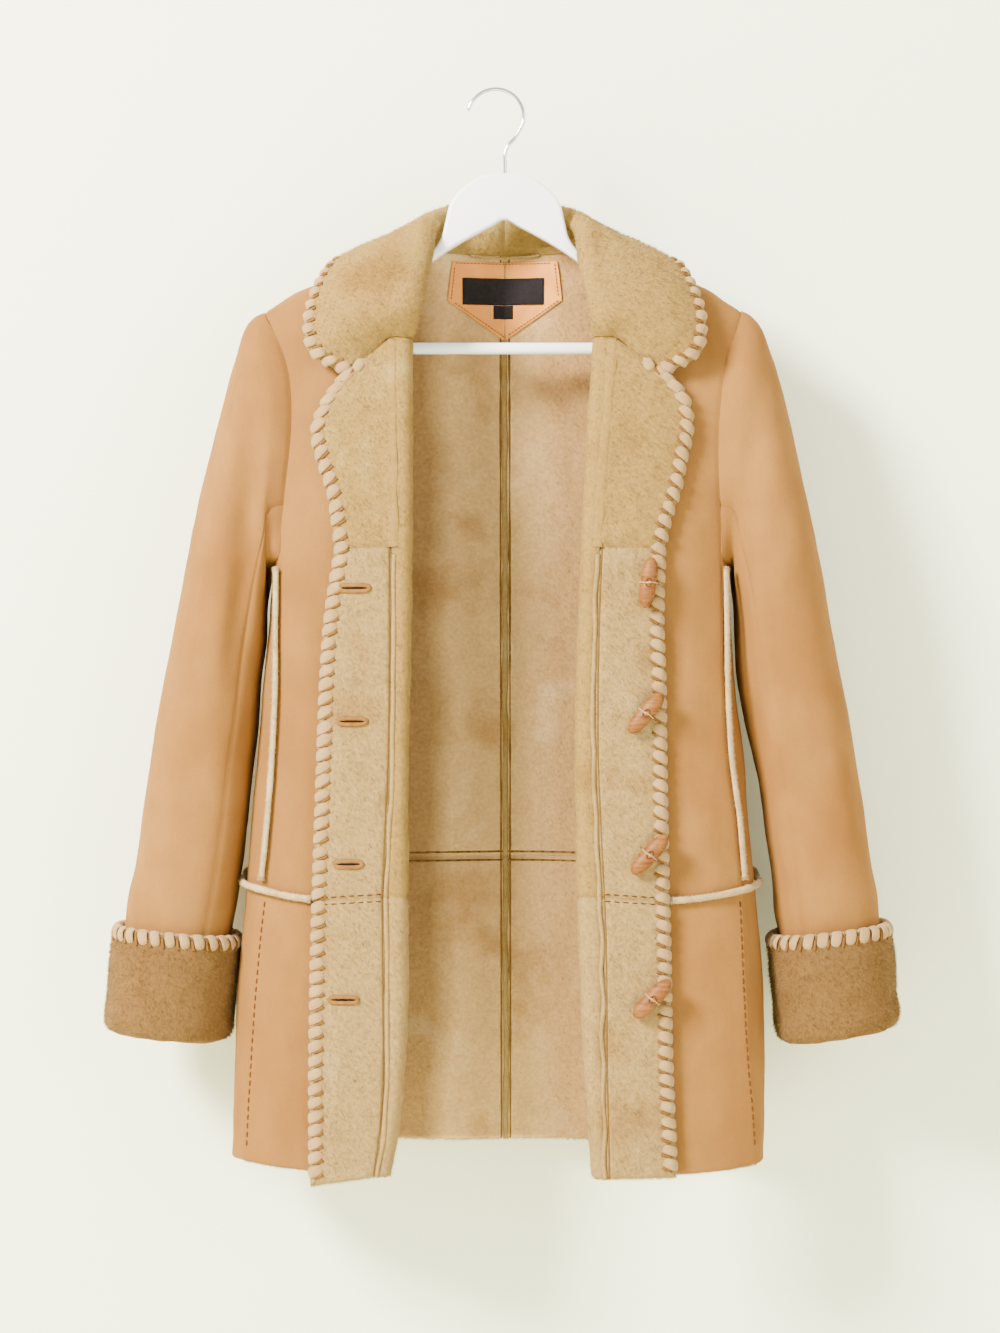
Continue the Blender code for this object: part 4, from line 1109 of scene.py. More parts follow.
def panel_piece(wall):
    """Both surfaces of a panel and the edge between them."""
    kind = kind_of(wall.name)
    quads = wall.faces()
    suede = wall.suede.reshape(-1, 3)
    pile = wall.pile.reshape(-1, 3)
    count = len(suede)
    corner = np.array(quads)
    a, b, c, d = (suede[corner[:, k]] for k in range(4))
    normal = np.cross(c - a, d - b)
    way = (suede - pile)[corner[:, 0]]
    if (normal * way).sum() < 0:
        quads = [quad[::-1] for quad in quads]
    faces = list(quads)
    faces += [tuple(vertex + count for vertex in quad[::-1]) for quad in quads]
    around = rim(quads)
    faces += [(b, a, a + count, b + count) for a, b in around]
    which = [0] * len(quads) + [1] * (len(quads) + len(around))
    slot = PILE_OF.get(kind, "pile_inside")
    return new_piece("cloth_" + wall.name, np.vstack((suede, pile)), faces, ("suede", slot), which,
                     replaces=(wall.name,))


for wall in WALLS.values():
    drape(wall)
PANELS = {name: panel_piece(wall) for name, wall in WALLS.items()}


# ---------------------------------------------------------------- pile

RANDOM = np.random.default_rng(7)
FIBRE_SHARE = 0.42       # share of the full number of fibres, to keep the model light


def fibres(name, wall, density, length, lean, chosen, material, width):
    """Tapered fibres rooted in and standing on the pile surface and leaning with the nap."""
    columns = wall.pile.shape[1]
    quads = np.array(wall.faces())
    flat = wall.pile.reshape(-1, 3)
    away = -wall.outward().reshape(-1, 3)
    if chosen is not None:
        keep = chosen(flat[quads].mean(axis=1), quads // columns)
        quads = quads[keep]
    a, b, c, d = (flat[quads[:, k]] for k in range(4))
    area = np.linalg.norm(np.cross(c - a, d - b), axis=1) / 2
    total = int(area.sum() * density * FIBRE_SHARE)
    picks = RANDOM.choice(len(quads), total, p=area / area.sum())
    u, v = RANDOM.random((2, total, 1))
    chosen_quads = quads[picks]
    weights = ((1 - u) * (1 - v), u * (1 - v), u * v, (1 - u) * v)
    root = sum(weight * flat[chosen_quads[:, k]] for k, weight in enumerate(weights))
    up = sum(weight * away[chosen_quads[:, k]] for k, weight in enumerate(weights))
    up = unit(up)
    nap = lean(root)
    nap = nap - up * (nap * up).sum(axis=1, keepdims=True)
    swirl = noise_at(root, 22, 21)[:, None]
    tangent = np.cross(up, nap)
    way = up + nap * (0.5 + 0.35 * noise_at(root, 34, 4)[:, None]) + tangent * swirl * 0.4
    way += RANDOM.normal(0, 0.22, (total, 3))
    way = unit(way)
    reach = length * (1 + 0.25 * noise_at(root, 9, 6)) * RANDOM.uniform(0.7, 1.15, total)
    hairs(name, root - up * 0.5, way, reach + 0.5, width, material)


def hairs(name, root, way, reach, width, material):
    """Three-sided tapered spikes from points in millimetres, in one piece."""
    total = len(root)
    side = np.cross(way, RANDOM.normal(size=(total, 3)))
    side = unit(side)
    other = np.cross(way, side)
    points = np.empty((total, 4, 3))
    for k in range(3):
        angle = 2 * math.pi * k / 3
        points[:, k] = root + (side * math.cos(angle) + other * math.sin(angle)) * width / 2
    points[:, 3] = root + way * reach[:, None]
    faces = (np.arange(total)[:, None, None] * 4 + np.array(((0, 1, 3), (1, 2, 3), (2, 0, 3)))).reshape(-1, 3)
    points = points.reshape(-1, 3) * MM
    points[:, 0] += CENTRE_X * MM
    data = bpy.data.meshes.new(name)
    data.vertices.add(len(points))
    data.vertices.foreach_set("co", points.astype(np.float32).ravel())
    data.loops.add(faces.size)
    data.loops.foreach_set("vertex_index", faces.astype(np.int32).ravel())
    data.polygons.add(len(faces))
    data.polygons.foreach_set("loop_start", np.arange(len(faces), dtype=np.int32) * 3)
    data.polygons.foreach_set("use_smooth", np.ones(len(faces), bool))
    data.update(calc_edges=True)
    place_piece(name, data, (material,), ())


def nap_down(root):
    return np.broadcast_to((0.0, 0.0, -1.0), root.shape)


def nap_collar(root):
    return np.stack((np.sign(root[:, 0]) * 0.6, np.full(len(root), -0.1), np.full(len(root), -0.8)), axis=1)


def near_fold(centres, rows):
    return (np.abs(centres[:, 0]) < 104) & (centres[:, 1] < -50)


def turned_up(centres, rows):
    return rows.min(axis=1) > 3


def seen_inside(centres, rows):
    return np.abs(centres[:, 0]) < 105


COATS = (                # start of the name, panel, density, length, nap, part of it, material, width
    ("fur_", "lapel_", 0.75, 2.6, nap_down, None, "pile", 0.5),
    ("fur_", "band_upper_", 0.75, 2.4, nap_down, None, "pile_pale", 0.5),
    ("fur_", "band_lower_", 0.75, 2.4, nap_down, None, "pile_pale", 0.5),
    ("fur_", "collar_", 0.75, 2.6, nap_collar, None, "pile", 0.5),
    ("fur_fold_", "front_upper_", 0.6, 2.4, nap_down, near_fold, "pile", 0.5),
    ("fur_fold_", "front_lower_", 0.6, 2.4, nap_down, near_fold, "pile_pale", 0.5),
    ("fur_", "cuff_", 0.6, 2.4, nap_down, turned_up, "pile_cuff", 0.5),
    # sparse pale fibres: real loose pile whose pale colour paints the highlight on the fur's rim and a lighter
    # sheen
    ("halo_", "cuff_", 0.2, 3.4, nap_down, turned_up, "pile", 0.34),
    ("halo_", "collar_", 0.07, 3.6, nap_collar, None, "trim", 0.34),
    ("halo_", "lapel_", 0.05, 3.2, nap_down, None, "trim", 0.34),
    ("halo_", "band_upper_", 0.05, 3.2, nap_down, None, "trim", 0.34),
    ("halo_", "band_lower_", 0.05, 3.2, nap_down, None, "trim", 0.34),
    ("fur_", "back_upper_", 0.3, 2.6, nap_down, seen_inside, "pile_inside", 0.5),
    ("fur_", "back_lower_", 0.3, 2.6, nap_down, seen_inside, "pile_inside", 0.5),
)
for _, label in SIDES:
    for start, part, *look in COATS:
        fibres(start + part + label, WALLS[part + label], *look)

# ---------------------------------------------------------------- laces, stitches and ridges

def sweep(path, wide, high, ups, sides=8, closed=False):
    """Points and faces of a tube of elliptic section along a path; ups point to its flat side."""
    path = np.asarray(path, float)
    ups = np.broadcast_to(np.asarray(ups, float), path.shape)
    count = len(path)
    wide, high = (np.broadcast_to(np.asarray(size, float), (count,)) for size in (wide, high))
    if closed:
        along = np.roll(path, -1, axis=0) - np.roll(path, 1, axis=0)
    else:
        along = np.gradient(path, axis=0)
    along /= np.maximum(np.linalg.norm(along, axis=1, keepdims=True), 1e-9)
    side = np.cross(along, ups)
    side /= np.maximum(np.linalg.norm(side, axis=1, keepdims=True), 1e-9)
    top = np.cross(side, along)
    angle = 2 * math.pi * np.arange(sides) / sides
    points = (path[:, None] + side[:, None] * (wide[:, None] * np.cos(angle))[:, :, None]
              + top[:, None] * (high[:, None] * np.sin(angle))[:, :, None])
    faces = []
    for i in range(count if closed else count - 1):
        k = (i + 1) % count
        for j in range(sides):
            n = (j + 1) % sides
            faces.append((i * sides + j, i * sides + n, k * sides + n, k * sides + j))
    if not closed:
        faces.append(tuple(range(sides))[::-1])
        faces.append(tuple(range((count - 1) * sides, count * sides)))
    return points.reshape(-1, 3), faces


def smooth(line, ups, spacing):
    """A finer curve through a line, and the directions along it."""
    fine, picks = refine(np.asarray(line)[:, None], False, spacing)
    return fine[:, 0], np.array([mix(ups[gap], ups[min(gap + 1, len(ups) - 1)], t) for gap, t in picks])


class Bundle:
    """Many small sweeps gathered in one piece."""

    def __init__(self):
        self.points = []
        self.faces = []
        self.count = 0

    def add(self, points, faces):
        self.points.append(points)
        self.faces += [tuple(vertex + self.count for vertex in face) for face in faces]
        self.count += len(points)

    def piece(self, name, material, replaces=(), slot="suede"):
        return new_piece(name, np.vstack(self.points), self.faces, (material,), replaces=replaces)


def strip_at(wall, edge, distance, surface):
    """Points of a surface this far from an edge, one for each line that runs to that edge."""
    grid = getattr(wall, surface)
    away = wall.edge_distance()[edge]
    if edge in (TOP, BOTTOM):
        grid, away = grid.transpose(1, 0, 2), away.T
    if edge in (BOTTOM, END):
        grid, away = grid[:, ::-1], away[:, ::-1]
    line = [[np.interp(distance, away[i], grid[i, :, axis]) for axis in range(3)] for i in range(len(grid))]
    return np.array(line)


def joined(walls, edge, distance, surface):
    """The same strip over several walls in a row."""
    lines = [strip_at(wall, edge, distance, surface) for wall in walls]
    for number in range(1, len(lines)):
        lines[number] = lines[number][1:]
    return np.vstack(lines)


def along_of(line):
    steps = np.linalg.norm(np.diff(line, axis=0), axis=1)
    return np.concatenate(([0], np.cumsum(steps)))


def point_on(line, place, spot):
    return np.array([np.interp(spot, place, line[:, axis]) for axis in range(3)])


LACE_PITCH = 11.6
LACE_PATH = (            # distance in from the edge, surface, height over it, share of the slant
    (11.0, "pile", -1.0, 1.0), (8.0, "pile", 1.0, 0.72), (4.0, "pile", 1.6, 0.4), (1.2, "pile", 1.4, 0.14),
    (0.0, "edge", 1.3, 0.0),
    (1.2, "suede", 1.2, -0.12), (4.0, "suede", 1.0, -0.35), (8.0, "suede", -0.8, -0.6),
)


def lacing(name, walls, edge, slant, closed=False, start=4.0, stop=4.0):
    """Whipstitches of a suede lace over a free edge; slant is how far the inner end is shifted along it."""
    depths = (0.0, 1.2, 4.0, 8.0, 11.0)
    pile = {d: joined(walls, edge, d, "pile") for d in depths}
    suede = {d: joined(walls, edge, d, "suede") for d in depths}
    middle = (pile[0.0] + suede[0.0]) / 2
    inner = (pile[8.0] + suede[8.0]) / 2
    if closed:
        for table in (pile, suede):
            for key in depths:
                table[key] = np.vstack((table[key], table[key][:1]))
        middle = np.vstack((middle, middle[:1]))
        inner = np.vstack((inner, inner[:1]))
    place = along_of(middle)
    length = place[-1] - start - stop
    number = max(int(round(length / LACE_PITCH)), 1)
    bundle = Bundle()
    slits = Bundle()
    for k in range(number):
        base = start + length * (k + 0.5) / number + RANDOM.normal(0, 0.35)
        tilt = slant(base / place[-1]) + RANDOM.normal(0, 0.4)
        path, ups = [], []
        for depth, surface, lift, share in LACE_PATH:
            spot = base + tilt * share
            if closed:
                spot = spot % place[-1]
            a, b = point_on(pile[depth], place, spot), point_on(suede[depth], place, spot)
            up = a - b
            up /= np.linalg.norm(up)
            edge_way = point_on(middle, place, spot) - point_on(inner, place, spot)
            edge_way /= np.linalg.norm(edge_way)
            if surface == "pile":
                path.append(a + up * lift)
                ups.append(up + edge_way * (0.9 if depth < 2 else 0.1))
            elif surface == "suede":
                path.append(b - up * lift)
                ups.append(-up + edge_way * (0.9 if depth < 2 else 0.1))
            else:
                path.append((a + b) / 2 + edge_way * lift)
                ups.append(edge_way)
        fine, tops = smooth(path, ups, 2.8)
        share = np.linspace(0, 1, len(fine))
        puff = np.clip(np.minimum(share, 1 - share) * 5.5, 0.18, 1) ** 0.6
        size = RANDOM.uniform(0.92, 1.08)
        bundle.add(*sweep(fine, 4.3 * puff ** 0.6 * size, 1.2 * puff, tops, sides=10))
        # a dark strip between this stitch and the next paints the shade in the gap between them
        path, ups = [], []
        for depth, share in ((10.6, 1.0), (8.0, 0.72), (4.0, 0.4)):
            spot = base + length / number / 2 + tilt * share
            spot = spot % place[-1] if closed else min(spot, place[-1])
            a = point_on(pile[depth if depth < 10 else 11.0], place, spot)
            b = point_on(suede[8.0], place, spot)
            up = (a - b) / np.linalg.norm(a - b)
            path.append(a + up * 0.9)
            ups.append(up)
        fine, tops = smooth(path, ups, 3.0)
        slits.add(*sweep(fine, 1.25, 0.8, tops, sides=6))
    slits.piece(name.replace("lace", "slits"), "notch", slot="pile")
    bundle.piece(name, "lace")


def stitches(bundle, line, ups, pitch=7.0, size=0.55, share=0.6, start=3.0):
    """Short threads end to end along a line, each dipping into the cloth at its ends."""
    place = along_of(line)
    count = int((place[-1] - 2 * start) / pitch)
    for k in range(count):
        low = start + k * pitch
        spots = np.linspace(low, low + pitch * share, 6)
        path = np.array([point_on(line, place, spot) for spot in spots])
        top = np.array([point_on(ups, place, spot) for spot in spots])
        rise = np.sin(np.linspace(0.0, math.pi, 6))[:, None]
        path = path + top * (rise * size * 1.1 - size * 0.55)
        bundle.add(*sweep(path, size, size * 0.8, top, sides=6))


def ridge(bundle, line, ups, wide, high, lift, wobble=0.8, seed=1):
    """A soft raised rib along a line."""
    fine, tops = smooth(line, ups, 4.0)
    sway = noise_at(fine, 26, seed)[:, None] * wobble
    along = np.gradient(fine, axis=0)
    along = unit(along)
    side = np.cross(along, tops)
    swell = 1 + 0.22 * noise_at(fine, 11, seed + 3)
    bundle.add(*sweep(fine + tops * lift + side * sway, wide * swell, high * swell, tops, sides=10))


def crease(bundle, line, ups):
    """A dark line of painted shade where two sewn pieces meet, half sunk between them."""
    fine, tops = smooth(line, ups, 4.0)
    wide = 0.8 * (1 + 0.5 * noise_at(fine, 16, 31))
    bundle.add(*sweep(fine + tops * 0.1, wide, 0.6, tops, sides=8))


def wall_line(names, edge, distance, surface):
    """A line over several walls and the directions away from their other side."""
    walls = [WALLS[name] for name in names]
    line = joined(walls, edge, distance, surface)
    other = joined(walls, edge, distance, "suede" if surface == "pile" else "pile")
    away = line - other
    return line, unit(away)


def build_lacing():
    for _, label in SIDES:
        front = [WALLS[part + label] for part in ("lapel_", "band_upper_", "band_lower_")]
        lacing("lace_front_" + label, front, END, lambda share: -6.0 if share < 0.6 else -4.0)
        lacing("lace_collar_" + label, [WALLS["collar_" + label]], END, lambda share: 3.0, start=8, stop=3)
        lacing("lace_gorge_" + label, [WALLS["lapel_" + label]], TOP, lambda share: 2.0, start=26, stop=3)
        lacing("lace_cuff_" + label, [WALLS["cuff_" + label]], BOTTOM, lambda share: 3.0, closed=True,
               start=0, stop=0)


def build_seams():
    ribs, thread, dark, groove_shades, masks = (Bundle() for _ in range(5))
    for side, label in SIDES:
        backs = ["back_upper_" + label, "back_lower_" + label]
        crease(groove_shades, *wall_line(backs, START, 4.2, "pile"))
        if side == RIGHT:
            line, ups = wall_line(backs, START, 0.2, "pile")
            ridge(ribs, line[4:], ups[4:], 2.6, 2.0, 0.9, 1.2)
        bands = ["band_upper_" + label, "band_lower_" + label]
        crease(groove_shades, *wall_line(bands, START, 2.2, "pile"))
        folds = ["front_upper_" + label, "front_lower_" + label]
        line, ups = wall_line(folds, START, 1.5, "pile")
        low = line[:, 2] < ROLL_FOOT_Z
        ridge(ribs, line[low], ups[low], 2.0, 1.8, 0.6, 1.2, seed=5 + side)
        ridge(masks, line[~low], ups[~low], 4.5, 0.9, 0.3, 0.6, seed=9 + side)
        for part, edge in (("band_upper_", BOTTOM), ("band_lower_", TOP)):
            stitches(dark, *wall_line([part + label], edge, 3.0, "pile"), 7.5, 0.55)
        for part, edge in (("back_upper_", BOTTOM), ("back_lower_", TOP)):
            line, ups = wall_line([part + label], edge, 3.8, "pile")
            crease(groove_shades, line, ups)
            stitches(dark, line, ups, 9.0, 0.7, 0.7)
        stitches(thread, *wall_line(["front_lower_" + label], END, 3.0, "suede"), 7.2, 0.8, 0.62, start=10)
        stitches(thread, *wall_line(backs, START, 3.0, "suede"), 7.2, 0.5, 0.62, start=10)
    ribs.piece("seam_ribs", "pile_pale", slot="pile")
    masks.piece("pile_over_roll", "pile", slot="pile")
    groove_shades.piece("seam_creases", "crease", slot="pile")
    thread.piece("suede_stitches", "thread", slot="suede")
    dark.piece("pile_stitches", "dark_thread", slot="pile")


build_lacing()
build_seams()

# ---------------------------------------------------------------- toggles, buttonholes, trims

def wall_tree(names, surface):
    """Tree of the fine surfaces of some panels, for setting pieces down on them."""
    points, faces = [], []
    for name in names:
        wall = WALLS[name]
        faces += [tuple(vertex + len(points) for vertex in quad) for quad in wall.faces()]
        points += [Vector(point) for point in getattr(wall, surface).reshape(-1, 3)]
    return BVHTree.FromPolygons(points, faces)


def seat(tree, x, z, from_y=-300):
    hit = tree.ray_cast(Vector((x, from_y, z)), Vector((0, 1, 0)))
    return hit[0].y if hit[0] else None


def rounded_profile():
    """Radius and place along a toggle: a barrel with soft ends and a shallow waist for its cord."""
    places = np.sin(np.linspace(-math.pi / 2, math.pi / 2, 41)) * TOGGLE_LENGTH / 2
    rows = []
    for along in places:
        share = abs(along) / (TOGGLE_LENGTH / 2)
        radius = 7.0 * (1 - share ** 4.2) ** 0.55 * (1 - 0.1 * share ** 2)
        radius -= 0.5 * math.exp(-(along / 3.2) ** 2)
        rows.append((max(radius, 0.05), along))
    return rows


def build_toggle_pieces():
    eyelets, cords = Bundle(), Bundle()
    for number, (_, z, tilt) in enumerate(TOGGLE, 1):
        low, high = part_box("toggle_%d" % number)
        centre = np.array(((low[0] + high[0]) / 2 / MM - CENTRE_X, (low[1] + high[1]) / 2 / MM, z))
        way = np.array((math.cos(math.radians(tilt)), 0, math.sin(math.radians(tilt))))
        front = np.array((0.0, -1.0, 0.0))
        rows = rounded_profile()
        path = np.array([centre + way * along for _, along in rows])
        size = np.array([radius for radius, _ in rows])
        size = size * (1 + 0.03 * noise_at(path, 9, 40 + number))
        points, faces = sweep(path, size, size * 0.97, front, sides=36)
        new_piece("toggle_body_%d" % number, points, faces, ("toggle",), replaces=("toggle_%d" % number,))
        top = centre + front * 6.6
        across = np.cross(way, front)
        ring = [top + way * math.cos(angle) * 3.4 + across * math.sin(angle) * 2.4
                for angle in np.arange(24) * 2 * math.pi / 24]
        eyelets.add(*sweep(ring, 0.55, 0.5, front, sides=8, closed=True))
        loop = [top + across * math.cos(angle) * 1.7 + front * (math.sin(angle) * 1.5 - 0.6)
                for angle in np.linspace(0, math.pi, 13)]
        cords.add(*sweep(loop, 0.75, 0.75, way, sides=8))
        for turn in (-1, 1):
            wrap = [centre + front * 6.9 * math.cos(angle) + across * turn * 7.2 * math.sin(angle)
                    + way * 0.6 * turn for angle in np.linspace(0, 0.62 * math.pi, 11)]
            cords.add(*sweep(wrap, 0.8, 0.6, way, sides=8))
    eyelets.piece("toggle_eyelets", "toggle_dark", slot="toggle")
    cords.piece("toggle_cords", "lace", slot="cord")


def build_buttonhole_pieces():
    tree = wall_tree(["lapel_right", "band_upper_right", "band_lower_right"], "pile")
    slits = Bundle()
    for number, (x, z, length) in enumerate(BUTTONHOLE, 1):
        bundle = Bundle()
        route = []
        half = length / 2 - 1.6
        for step in range(48):
            angle = 2 * math.pi * step / 48
            flat_x = math.copysign(abs(math.cos(angle)) ** 0.45, math.cos(angle)) * half
            flat_z = math.copysign(abs(math.sin(angle)) ** 0.8, math.sin(angle)) * 2.5
            px, pz = x + flat_x, z + flat_z
            route.append((px, seat(tree, px, pz) - 0.9, pz))
        ups = (0, -1.0, 0)
        bundle.add(*sweep(np.array(route), 1.75, 1.25, ups, sides=12, closed=True))
        bundle.piece("buttonhole_binding_%d" % number, "binding", ("buttonhole_%d" % number,), "suede")
        line = np.array([(px, seat(tree, px, z) - 0.9, z + 0.25 * math.sin(px)) for px in
                         np.linspace(x - half + 2.5, x + half - 2.5, 12)])
        wide = np.sin(np.linspace(0.25, math.pi - 0.25, 12)) ** 0.5
        slits.add(*sweep(line, 0.95 * wide, 0.75, (0, -1.0, 0), sides=8))
    slits.piece("buttonhole_slits", "slit", slot="suede")


def fur_tube(name, line, ups, radius, node, wobble_seed):
    """A rolled strip of pile let into a seam."""
    bundle = Bundle()
    fine, tops = smooth(line, ups, 3.0)
    ends = np.clip(np.minimum(np.arange(len(fine)), np.arange(len(fine))[::-1]) / 3.0, 0.35, 1)
    swell = (1 + 0.16 * noise_at(fine, 7, wobble_seed)) * ends
    points, faces = sweep(fine, radius * swell, radius * 0.85 * swell, tops, sides=12)
    bundle.add(points, faces)
    count = int(along_of(fine)[-1] * 10)
    spots = RANDOM.uniform(0, len(fine) - 1, count)
    low = np.clip(spots.astype(int), 0, len(fine) - 2)
    share = (spots - low)[:, None]
    centre = fine[low] * (1 - share) + fine[low + 1] * share
    along = fine[low + 1] - fine[low]
    along = unit(along)
    top = tops[low]
    side = np.cross(along, top)
    angle = RANDOM.uniform(-0.35, math.pi + 0.35, count)[:, None]
    out = side * np.cos(angle) + top * np.sin(angle)
    root = centre + out * radius * 0.8
    way = out + along * 0.3 + RANDOM.normal(0, 0.3, (count, 3))
    way = unit(way)
    thing = bundle.piece("trim_" + name, "trim", (node,), "pile")
    hairs("fur_" + name, root, way, RANDOM.uniform(1.2, 2.6, count), 0.45, "trim")
    return thing


def build_trim_pieces():
    waist = UPPER_ROWS + CHEST_ROWS
    for side, label in SIDES:
        front, flank, back = front_grid(side), side_grid(side), back_grid(side)
        start_x = EDGE_X[side](WAIST_Z["edge"]) + 2
        across = front[waist][BEND_STEPS + 1:]
        first = next(k for k, point in enumerate(across) if abs(point.x) > start_x)
        share = (start_x - abs(across[first - 1].x)) / (abs(across[first].x) - abs(across[first - 1].x))
        line = [across[first - 1].lerp(across[first], share)] + across[first:]
        line += flank[CHEST_ROWS][1:]
        line += back[waist][-2::-1]
        seam = [front[i][-1] for i in range(UPPER_ROWS, waist + 1)]
        for name, route, radius in (("waist_" + label, line, TRIM_RADIUS),
                                    ("princess_" + label, seam, TRIM_RADIUS - 0.4)):
            known = route[1:] if name.startswith("waist") else route
            ups = [-FORM.wall_direction(FORM.add(point)).normalized() for point in known]
            ups = np.array(ups[:1] * (len(route) - len(known)) + ups)
            radius *= 0.85
            path = np.array(route) + ups * (radius + LAY)
            if name.startswith("princess"):
                path[0] = mix(path[0], path[1], 0.12)
                step = path[-2] - path[-1]
                path[-1] += step / np.linalg.norm(step) * (2 * TRIM_RADIUS + 1.5)
            node = name.split("_")[0] + "_trim_" + label
            fur_tube(name, path, ups, radius, node, 11 + side)


def fringe(name, names, edge, material, density, reach, surface="pile", inset=0.4):
    """Loose pile that stands out past a free edge."""
    walls = [WALLS[each] for each in names]
    near, far = joined(walls, edge, inset, surface), joined(walls, edge, 6.0, surface)
    back = joined(walls, edge, inset, "suede" if surface == "pile" else "pile")
    place = along_of(near)
    count = int(place[-1] * density * FIBRE_SHARE)
    spots = RANDOM.uniform(0, place[-1], count)
    root, inner, other = (point_on(line, place, spots).T for line in (near, far, back))
    root = root + (other - root) * RANDOM.uniform(0, 0.55, (count, 1))
    out = root - inner
    out = unit(out)
    up = inner - other
    up = unit(up)
    way = out + up * 0.25 + RANDOM.normal(0, 0.3, (count, 3))
    way = unit(way)
    length = RANDOM.uniform(0.5, 1.0, count) * reach + 0.6
    hairs("fur_edge_" + name, root - way * 0.6, way, length, 0.42, material)


def along_hairs(name, names, edge, low_z, high_z, reach, material, density=30, spread=3.0):
    """Pile that stands over a seam between two heights."""
    line, ups = wall_line(names, edge, 1.5, "pile")
    chosen = (line[:, 2] > low_z) & (line[:, 2] < high_z)
    line, ups = line[chosen], ups[chosen]
    place = along_of(line)
    count = int(place[-1] * density * FIBRE_SHARE)
    spots = RANDOM.uniform(0, place[-1], count)
    root, up = (point_on(rows, place, spots).T for rows in (line, ups))
    side = np.cross(up, np.gradient(line, axis=0)[0])
    side = unit(side)
    root = root + side * RANDOM.normal(0, spread / 2, (count, 1)).clip(-spread, spread) + up * 0.4
    way = up + np.array((0, 0, -0.5)) + RANDOM.normal(0, 0.25, (count, 3))
    way = unit(way)
    hairs("fur_" + name, root, way, RANDOM.uniform(0.6, 1.0, count) * reach, 0.5, material)


def build_fringes():
    for _, label in SIDES:
        folds = ["front_upper_" + label, "front_lower_" + label]
        along_hairs("roll_" + label, folds, START, ROLL_FOOT_Z, -100, 2.6, "pile", 34, 4.5)
        along_hairs("rib_" + label, folds, START, -940, ROLL_FOOT_Z, 2.4, "pile_pale", 24, 1.6)
    # the fringes in the pale trim colour are real loose pile, and their pale colour paints the highlight on the
    # fur's rim
    for _, label in SIDES:
        fringe("collar_" + label, ["collar_" + label], END, "trim", 16, 3.0)
        front = ["lapel_" + label, "band_upper_" + label, "band_lower_" + label]
        fringe("front_" + label, front, END, "trim", 12, 2.6)
        fringe("band_hem_" + label, ["band_lower_" + label], BOTTOM, "trim", 22, 3.4)
        fringe("fold_hem_" + label, ["front_lower_" + label], BOTTOM, "pile_pale", 14, 2.6)
        fringe("back_hem_" + label, ["back_lower_" + label], BOTTOM, "trim", 22, 4.0)
        fringe("cuff_top_" + label, ["cuff_" + label], BOTTOM, "trim", 18, 3.2)


build_toggle_pieces()
build_buttonhole_pieces()
build_trim_pieces()
build_fringes()

# ---------------------------------------------------------------- labels, loop, hanger

def pressed_plate(name, outline, tree, wall, lift, material, node, columns=28, rows=20, dome=0.0):
    """A thin piece cut to an outline and pressed against the cloth behind it, with rounded edges."""
    left, right = min(p[0] for p in outline), max(p[0] for p in outline)
    xs = (left + right) / 2 + (right - left) / 2 * np.sin(np.linspace(-math.pi / 2, math.pi / 2, columns + 1))
    front = np.zeros((rows + 1, columns + 1, 3))
    back = np.zeros_like(front)
    for j, x in enumerate(xs):
        top, bottom = span_at(outline, min(max(x, left + 0.01), right - 0.01))
        for i in range(rows + 1):
            share = (1 - math.cos(math.pi * i / rows)) / 2
            z = mix(top, bottom, share)
            edge = min(x - left, right - x, top - z, z - bottom)
            round_off = math.sqrt(max(1 - max(1 - edge / wall, 0) ** 2, 0))
            y = seat(tree, x, z, -40) - lift
            front[i, j] = (x, y - wall * (0.25 + 0.75 * round_off) - dome * min(edge / 8, 1), z)
            back[i, j] = (x, y, z)
    count = (rows + 1) * (columns + 1)
    quads = [(i * (columns + 1) + j, i * (columns + 1) + j + 1, (i + 1) * (columns + 1) + j + 1,
              (i + 1) * (columns + 1) + j) for i in range(rows) for j in range(columns)]
    faces = [quad[::-1] for quad in quads] + [tuple(v + count for v in quad) for quad in quads]
    faces += [(a, b, b + count, a + count) for a, b in rim(quads)]
    points = np.vstack((front.reshape(-1, 3), back.reshape(-1, 3)))
    return new_piece(name, points, faces, (material,), replaces=(node,)), front


def outline_stitches(bundle, outline, inset, tree, lift, pitch, size):
    """Topstitching just inside an outline."""
    middle = np.mean(np.array(outline), axis=0)
    corners = []
    for x, z in outline:
        way = np.array((x, z)) - middle
        corners.append(np.array((x, z)) - way / np.linalg.norm(way) * inset * 1.25)
    for a, b in zip(corners, corners[1:] + corners[:1]):
        steps = max(int(np.linalg.norm(b - a) / 3), 2)
        line = []
        for k in range(steps + 1):
            x, z = mix(a, b, k / steps)
            line.append((x, seat(tree, x, z, -40) - lift, z))
        ups = np.tile((0.0, -1.0, 0.0), (len(line), 1))
        stitches(bundle, np.array(line), ups, pitch, size, 0.62, start=0.8)


def build_label_pieces():
    tree = wall_tree(["back_upper_right", "back_upper_left"], "pile")
    pressed_plate("neck_patch_suede", list(PATCH), tree, PATCH_WALL, LAY, "patch", "neck_patch",
                  columns=44, rows=30, dome=0.5)
    lift = LAY + PATCH_WALL + 0.5 + 0.3
    pressed_plate("neck_label_bare", rectangle(*LABEL), tree, 0.7, lift, "label", "neck_label")
    pressed_plate("size_tab_bare", rectangle(*SIZE_TAB), tree, 0.6, lift, "label", "size_tab", 10, 8)
    thread = Bundle()
    outline_stitches(thread, list(PATCH), 2.6, tree, LAY + PATCH_WALL + 0.75, 3.2, 0.3)
    thread.piece("patch_stitches", "thread", slot="suede")
    dark = Bundle()
    outline_stitches(dark, rectangle(*LABEL), 1.2, tree, lift + 0.85, 2.4, 0.2)
    dark.piece("label_stitches", "label", slot="label")


def rectangle(x0, x1, z0, z1):
    return [(x0, z1), (x1, z1), (x1, z0), (x0, z0)]


